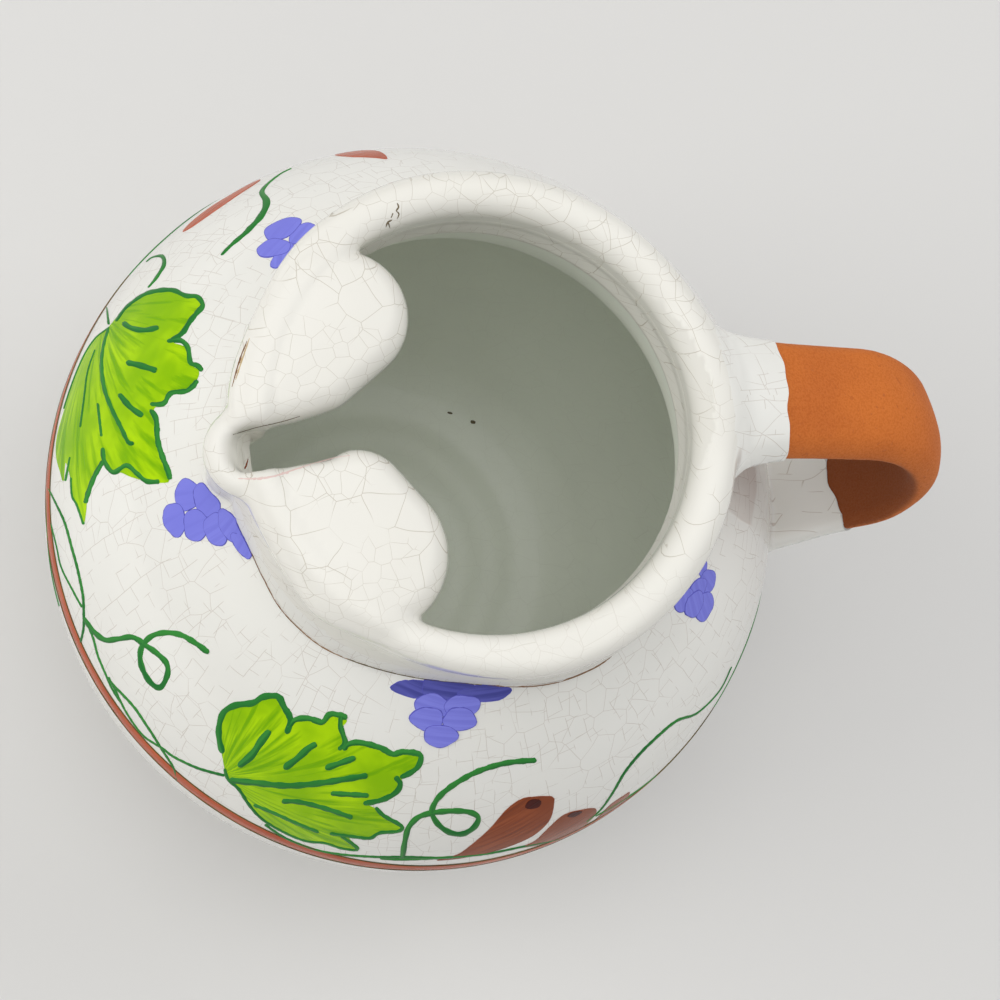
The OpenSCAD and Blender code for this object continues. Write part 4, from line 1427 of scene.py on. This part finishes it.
# Marks on the glaze, laid on the finished skin where the photograph shows them
MARKS = [
    # The slot's crease line is painted shadow in the groove under the upper lobe's fold.
    ("slot_crease", GRIME_AND_CREASE_SHADE, 0.55,
     [(233, 434.5), (246, 430.5), (258, 427), (272, 424), (286, 420.5), (300, 416)]),
    ("slot_edge_stain", PINK_STAIN, 0.9,
     [(238, 478.5), (258, 478.5), (275, 476), (290, 471), (310, 464.5), (330, 458.5), (350, 455.5)]),
    ("edge_scar_core", SCAR_TAN, 0.6, [(235.5, 380), (242, 360), (249.5, 338)]),
    ("edge_scar", SCAR_BROWN_AND_CREASE_SHADE, 0.6, [(232, 387), (236, 372), (241, 356), (247, 341)]),
    ("lip_stain", BRICK_RED, 0.8, [(248, 459), (246.5, 465), (244.5, 469)]),
]
RIM_CHIPS = [
    (0.7, [(397, 203), (398.5, 207), (396, 211)]),
    (0.6, [(396, 211), (399, 214), (397, 219)]),
    (0.5, [(393, 213), (391, 218)]),
    (0.7, [(392, 220), (388, 222), (386, 227)]),
    (0.5, [(388, 222), (390, 228)]),
]
# Painted shade, shadow and reflection along the crease under the near rim wall: brown and dark lines stand
# in for the crease's shade and the dark things it reflects.
CREASES = [
    ("crease_painted_shade", SCAR_BROWN_AND_CREASE_SHADE, [(250, 541), (262, 570), (280, 605), (300, 627), (323, 646), (350, 658)]),
    ("crease_painted_shadow", GRIME_AND_CREASE_SHADE,
     [(340, 654), (365, 663.5), (390, 670), (420, 675), (450, 679), (485, 683.5)]),
    ("crease_painted_reflection", SCAR_BROWN_AND_CREASE_SHADE,
     [(490, 684), (517, 685.5), (537, 685), (557, 681.5), (577, 675), (597, 666), (613, 654), (633, 638)]),
]
CREASE_W_PX = 1.6

# Specks on the pot's floor: pixel and width, and how far they reach in pixels
SPECKS = [(473, 422, 2.0), (450, 413, 1.1)]
SPECK_REACH = 2.5

# A mark stops where its line leaves the edge that it lies on
MARK_DROP = 8.0


def mark_on(skins, name, material, width, pixels):
    """A short mark that follows the skin below a line of the photograph."""
    trees = [BVHTree.FromPolygons(*skin) for skin in skins]
    line = flowing(pixels, 2.0)
    rows = []
    for px in line:
        p = (px - FRAME_MIDDLE_PX) / CAM_FOCAL_PX
        ray = Vector(p[0] * CAM_RIGHT + p[1] * CAM_DOWN + CAM_AHEAD).normalized()
        hits = [tree.ray_cast(Vector(CAM_PLACE), ray) for tree in trees]
        place, square, _, _ = min((h for h in hits if h[0] is not None), key=lambda h: h[3])
        rows.append((place, square))
    top = max(place.z for place, _ in rows)
    rows = [row for row in rows if top - row[0].z < MARK_DROP]
    mark = Painting(name, material)
    points, brush, faces = [], [], []
    for i, (place, square) in enumerate(rows):
        way = rows[min(i + 1, len(rows) - 1)][0] - rows[max(i - 1, 0)][0]
        side = square.cross(way).normalized()
        full = math.sin(math.pi * (i + 0.6) / (len(rows) + 0.2)) ** 0.6
        for across, rise in ((-1.0, -0.08), (0.0, 0.1), (1.0, -0.08)):
            points.append(place + side * across * width * 0.5 * full + square * rise)
            brush.append((i * 0.5, across * width * 0.5))
    for i in range(len(rows) - 1):
        for k in range(2):
            a = i * 3 + k
            faces.append((a, a + 1, a + 4, a + 3))
    mark.put(points, faces, brush)
    return mark.piece()


# Sides of the foot, radii of the rings in its flat faces, and how far its lower edge is rounded off
FOOT_SIDES = 192
FLAT_RINGS = (8.0, 30.0)
FOOT_EDGE = 1.2


def bare_foot():
    """The clay that the glaze leaves bare: the flat base and the band above it."""
    low = np.linspace(0.0, BARE_FOOT_H + 3.0, 8)
    side = np.interp(low, OUTSIDE[:, 1], OUTSIDE[:, 0]) - BARE_STEP
    side[0] -= FOOT_EDGE
    side[1] -= FOOT_EDGE / 6.0
    top_z = FLOOR_T - GLAZE_T
    outline = [(r, 0.0) for r in (*FLAT_RINGS, BASE_R - 4.0)] + [*zip(side, low)]
    outline += [(r, top_z) for r in reversed(FLAT_RINGS)]
    turns = np.linspace(0.0, 2.0 * math.pi, FOOT_SIDES, endpoint=False)
    rings = [[(r * math.cos(a), r * math.sin(a), z) for a in turns] for r, z in outline]
    n = len(turns)
    points = [(0.0, 0.0, 0.0), (0.0, 0.0, top_z)] + [p for ring in rings for p in ring]
    faces = []
    for i in range(n):
        j = (i + 1) % n
        faces.append((0, 2 + j, 2 + i))
        top = 2 + (len(rings) - 1) * n
        faces.append((1, top + i, top + j))
        for k in range(len(rings) - 1):
            a = 2 + k * n
            faces.append((a + i, a + j, a + n + j, a + n + i))
    mesh = bpy.data.meshes.new("bare_foot")
    mesh.from_pydata((np.array(points) * MM).tolist(), [], faces)
    mesh.materials.append(RED_CLAY)
    mesh.shade_smooth()
    made = bpy.data.objects.new("bare_foot", mesh)
    bpy.context.collection.objects.link(made)
    return made


# The pieces

POT_CELL = 1.25
POT_SPACE = ((-89.0, -89.0, -3.0), (114.0, 89.0, 174.0))
GRIP_CELL = 1.1
GRIP_SPACE = ((44.0, -34.0, 74.0), (114.0, 24.0, 173.0))

# Limits that divide the skin: the inside's top, the heights where the rim's own glaze starts, and its reach
INSIDE_TOP = 154.0
RIM_GLAZE_Z = 152.0
LOBE_GLAZE_Z = 140.0
RIM_GLAZE_X = 50.0

points, quads = skin_of(glazed_pot, *POT_SPACE, POT_CELL)
middles = points[quads].mean(1)
out_from = np.hypot(middles[:, 0], middles[:, 1])
halfway = 0.5 * (np.interp(middles[:, 2], OUTSIDE[:, 1], OUTSIDE[:, 0])
                 + np.interp(middles[:, 2], INSIDE[:, 1], INSIDE[:, 0]))
height = middles[:, 2]
within = (out_from < halfway) & (height < INSIDE_TOP) & (height > FLOOR_T / 2.0)
on_rim = (height >= RIM_GLAZE_Z) | (out_from < halfway)
mouth = ~within & on_rim & (middles[:, 0] < RIM_GLAZE_X) & (height > LOBE_GLAZE_Z)
body_glaze = piece_of("outer_glaze_skin", points, quads[~within & ~mouth], BELLY_GLAZE)
mouth_glaze = piece_of("rim_and_lobes_skin", points, quads[mouth], WHITE_GLAZE)
inside_glaze = piece_of("inner_glaze_skin", points, quads[within], INSIDE_GLAZE)
trim_glaze(body_glaze)
for piece in (body_glaze, mouth_glaze, inside_glaze):
    smooth_by(piece, glazed_pot)

grip_points, grip_quads = skin_of(bare_strap, *GRIP_SPACE, GRIP_CELL)
grip = piece_of("bare_grip", grip_points, grip_quads, GRIP_CLAY)
smooth_by(grip, bare_strap)

leaf_fills, leaf_lines = paint_leaves()
stems = paint_stems()
petals, petal_spots, far_petals = paint_petals()
grapes, shaded_grapes, grape_edges = paint_grapes()
stripe, stripe_edges = paint_stripe()
skins = [(points.tolist(), quads.tolist())]
marks = [mark_on(skins, *mark) for mark in MARKS]
for k, (size, chip) in enumerate(RIM_CHIPS):
    marks.append(mark_on(skins, f"rim_chip_{k + 1}", GRIME_AND_CREASE_SHADE, size, chip))
for name, material, pixels in CREASES:
    line = Painting(name, material)
    photo_stroke(line, flowing(pixels, 3.0), CREASE_W_PX, 0.02)
    marks.append(line.piece())
for k, (px, py, size) in enumerate(SPECKS):
    speck = [(px - SPECK_REACH, py - 0.5), (px, py), (px + SPECK_REACH, py + 0.5)]
    marks.append(mark_on(skins, f"inside_speck_{k + 1}", GRIME_AND_CREASE_SHADE, size, speck))

foot = bare_foot()
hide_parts("clay_body")
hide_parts("outer_glaze", "upper_handle_glaze", "lower_handle_glaze")
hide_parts("rolled_rim", "right_lobe", "left_lobe", "pouring_lip")
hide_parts("inner_glaze")
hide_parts("handle_strap")
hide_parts("belly_stripe")
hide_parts("painted_vine", "painted_tendrils")
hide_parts("painted_leaves")
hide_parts("painted_grapes")
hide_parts("painted_petals")

FINISHES = [
    (foot, "red_clay"), (body_glaze, "white_glaze"), (mouth_glaze, "white_glaze"),
    (inside_glaze, "inside_glaze"), (grip, "red_clay"),
    (leaf_fills, "leaf_green"), (leaf_lines, "stem_green"), (stems, "stem_green"), (petals, "brick_red"),
    (petal_spots, "brick_red"), (far_petals, "stripe_red"),
    (grapes, "grape_violet"), (shaded_grapes, "grape_violet"),
    (grape_edges, "grape_violet"), (stripe, "stripe_red"), (stripe_edges, "stripe_red"),
    *((mark, "red_clay") for mark in marks),
]
for piece, slot in FINISHES:
    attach(piece, "root")


# Floor, light and camera

FLOOR_HALF = 3.0
SENSOR_W = 36.0


def pale_floor():
    mesh = bpy.data.meshes.new("floor")
    corners = [(x * FLOOR_HALF, y * FLOOR_HALF, 0) for x, y in ((-1, -1), (1, -1), (1, 1), (-1, 1))]
    mesh.from_pydata(corners, [], [(0, 1, 2, 3)])
    made = bpy.data.materials.new("pale_floor")
    made.use_nodes = True
    shader = made.node_tree.nodes["Principled BSDF"]
    shader.inputs["Base Color"].default_value = (0.70, 0.69, 0.67, 1.0)
    shader.inputs["Roughness"].default_value = 0.7
    mesh.materials.append(made)
    floor = bpy.data.objects.new("floor", mesh)
    bpy.context.collection.objects.link(floor)


def soft_lamp(name, place, size, power, tint=(1.0, 1.0, 1.0)):
    lamp = bpy.data.lights.new(name, "AREA")
    lamp.shape = "DISK"
    lamp.size = size
    lamp.energy = power
    lamp.color = tint
    made = bpy.data.objects.new(name, lamp)
    made.location = place
    aim = Vector((0.0, 0.0, 0.1)) - Vector(place)
    made.rotation_euler = aim.to_track_quat("-Z", "Y").to_euler()
    made.visible_glossy = False
    bpy.context.collection.objects.link(made)


def studio():
    world = bpy.data.worlds.new("studio")
    world.use_nodes = True
    sky = world.node_tree.nodes["Background"]
    sky.inputs["Color"].default_value = (0.97, 0.98, 1.0, 1.0)
    tree = world.node_tree
    way = add(tree, "ShaderNodeSeparateXYZ", (-600, 0))
    feed(tree, add(tree, "ShaderNodeTexCoord", (-800, 0)).outputs["Generated"], way.inputs[0])
    feed(tree, span(tree, way.outputs["Z"], 0.0, 1.0, 0.32, 0.68, (-350, 0)), sky.inputs["Strength"])
    bpy.context.scene.world = world
    soft_lamp("window", (-1.45, 0.25, 1.0), 1.2, 10.0, (1.0, 0.99, 0.96))
    soft_lamp("overhead", (-0.25, 0.05, 1.65), 1.1, 6.8)
    soft_lamp("fill", (1.3, 0.4, 1.1), 1.2, 6.0)
    bpy.context.scene.view_settings.view_transform = "Standard"


def photo_camera():
    lens = bpy.data.cameras.new("photo_camera")
    lens.sensor_width = SENSOR_W
    lens.lens = SENSOR_W * CAM_FOCAL_PX / (2.0 * FRAME_MIDDLE_PX)
    made = bpy.data.objects.new("photo_camera", lens)
    turn = Matrix((CAM_RIGHT, -CAM_DOWN, -CAM_AHEAD)).transposed().to_4x4()
    made.matrix_world = Matrix.Translation(Vector(CAM_PLACE) * MM) @ turn
    bpy.context.collection.objects.link(made)
    bpy.context.scene.camera = made


pale_floor()
studio()
photo_camera()
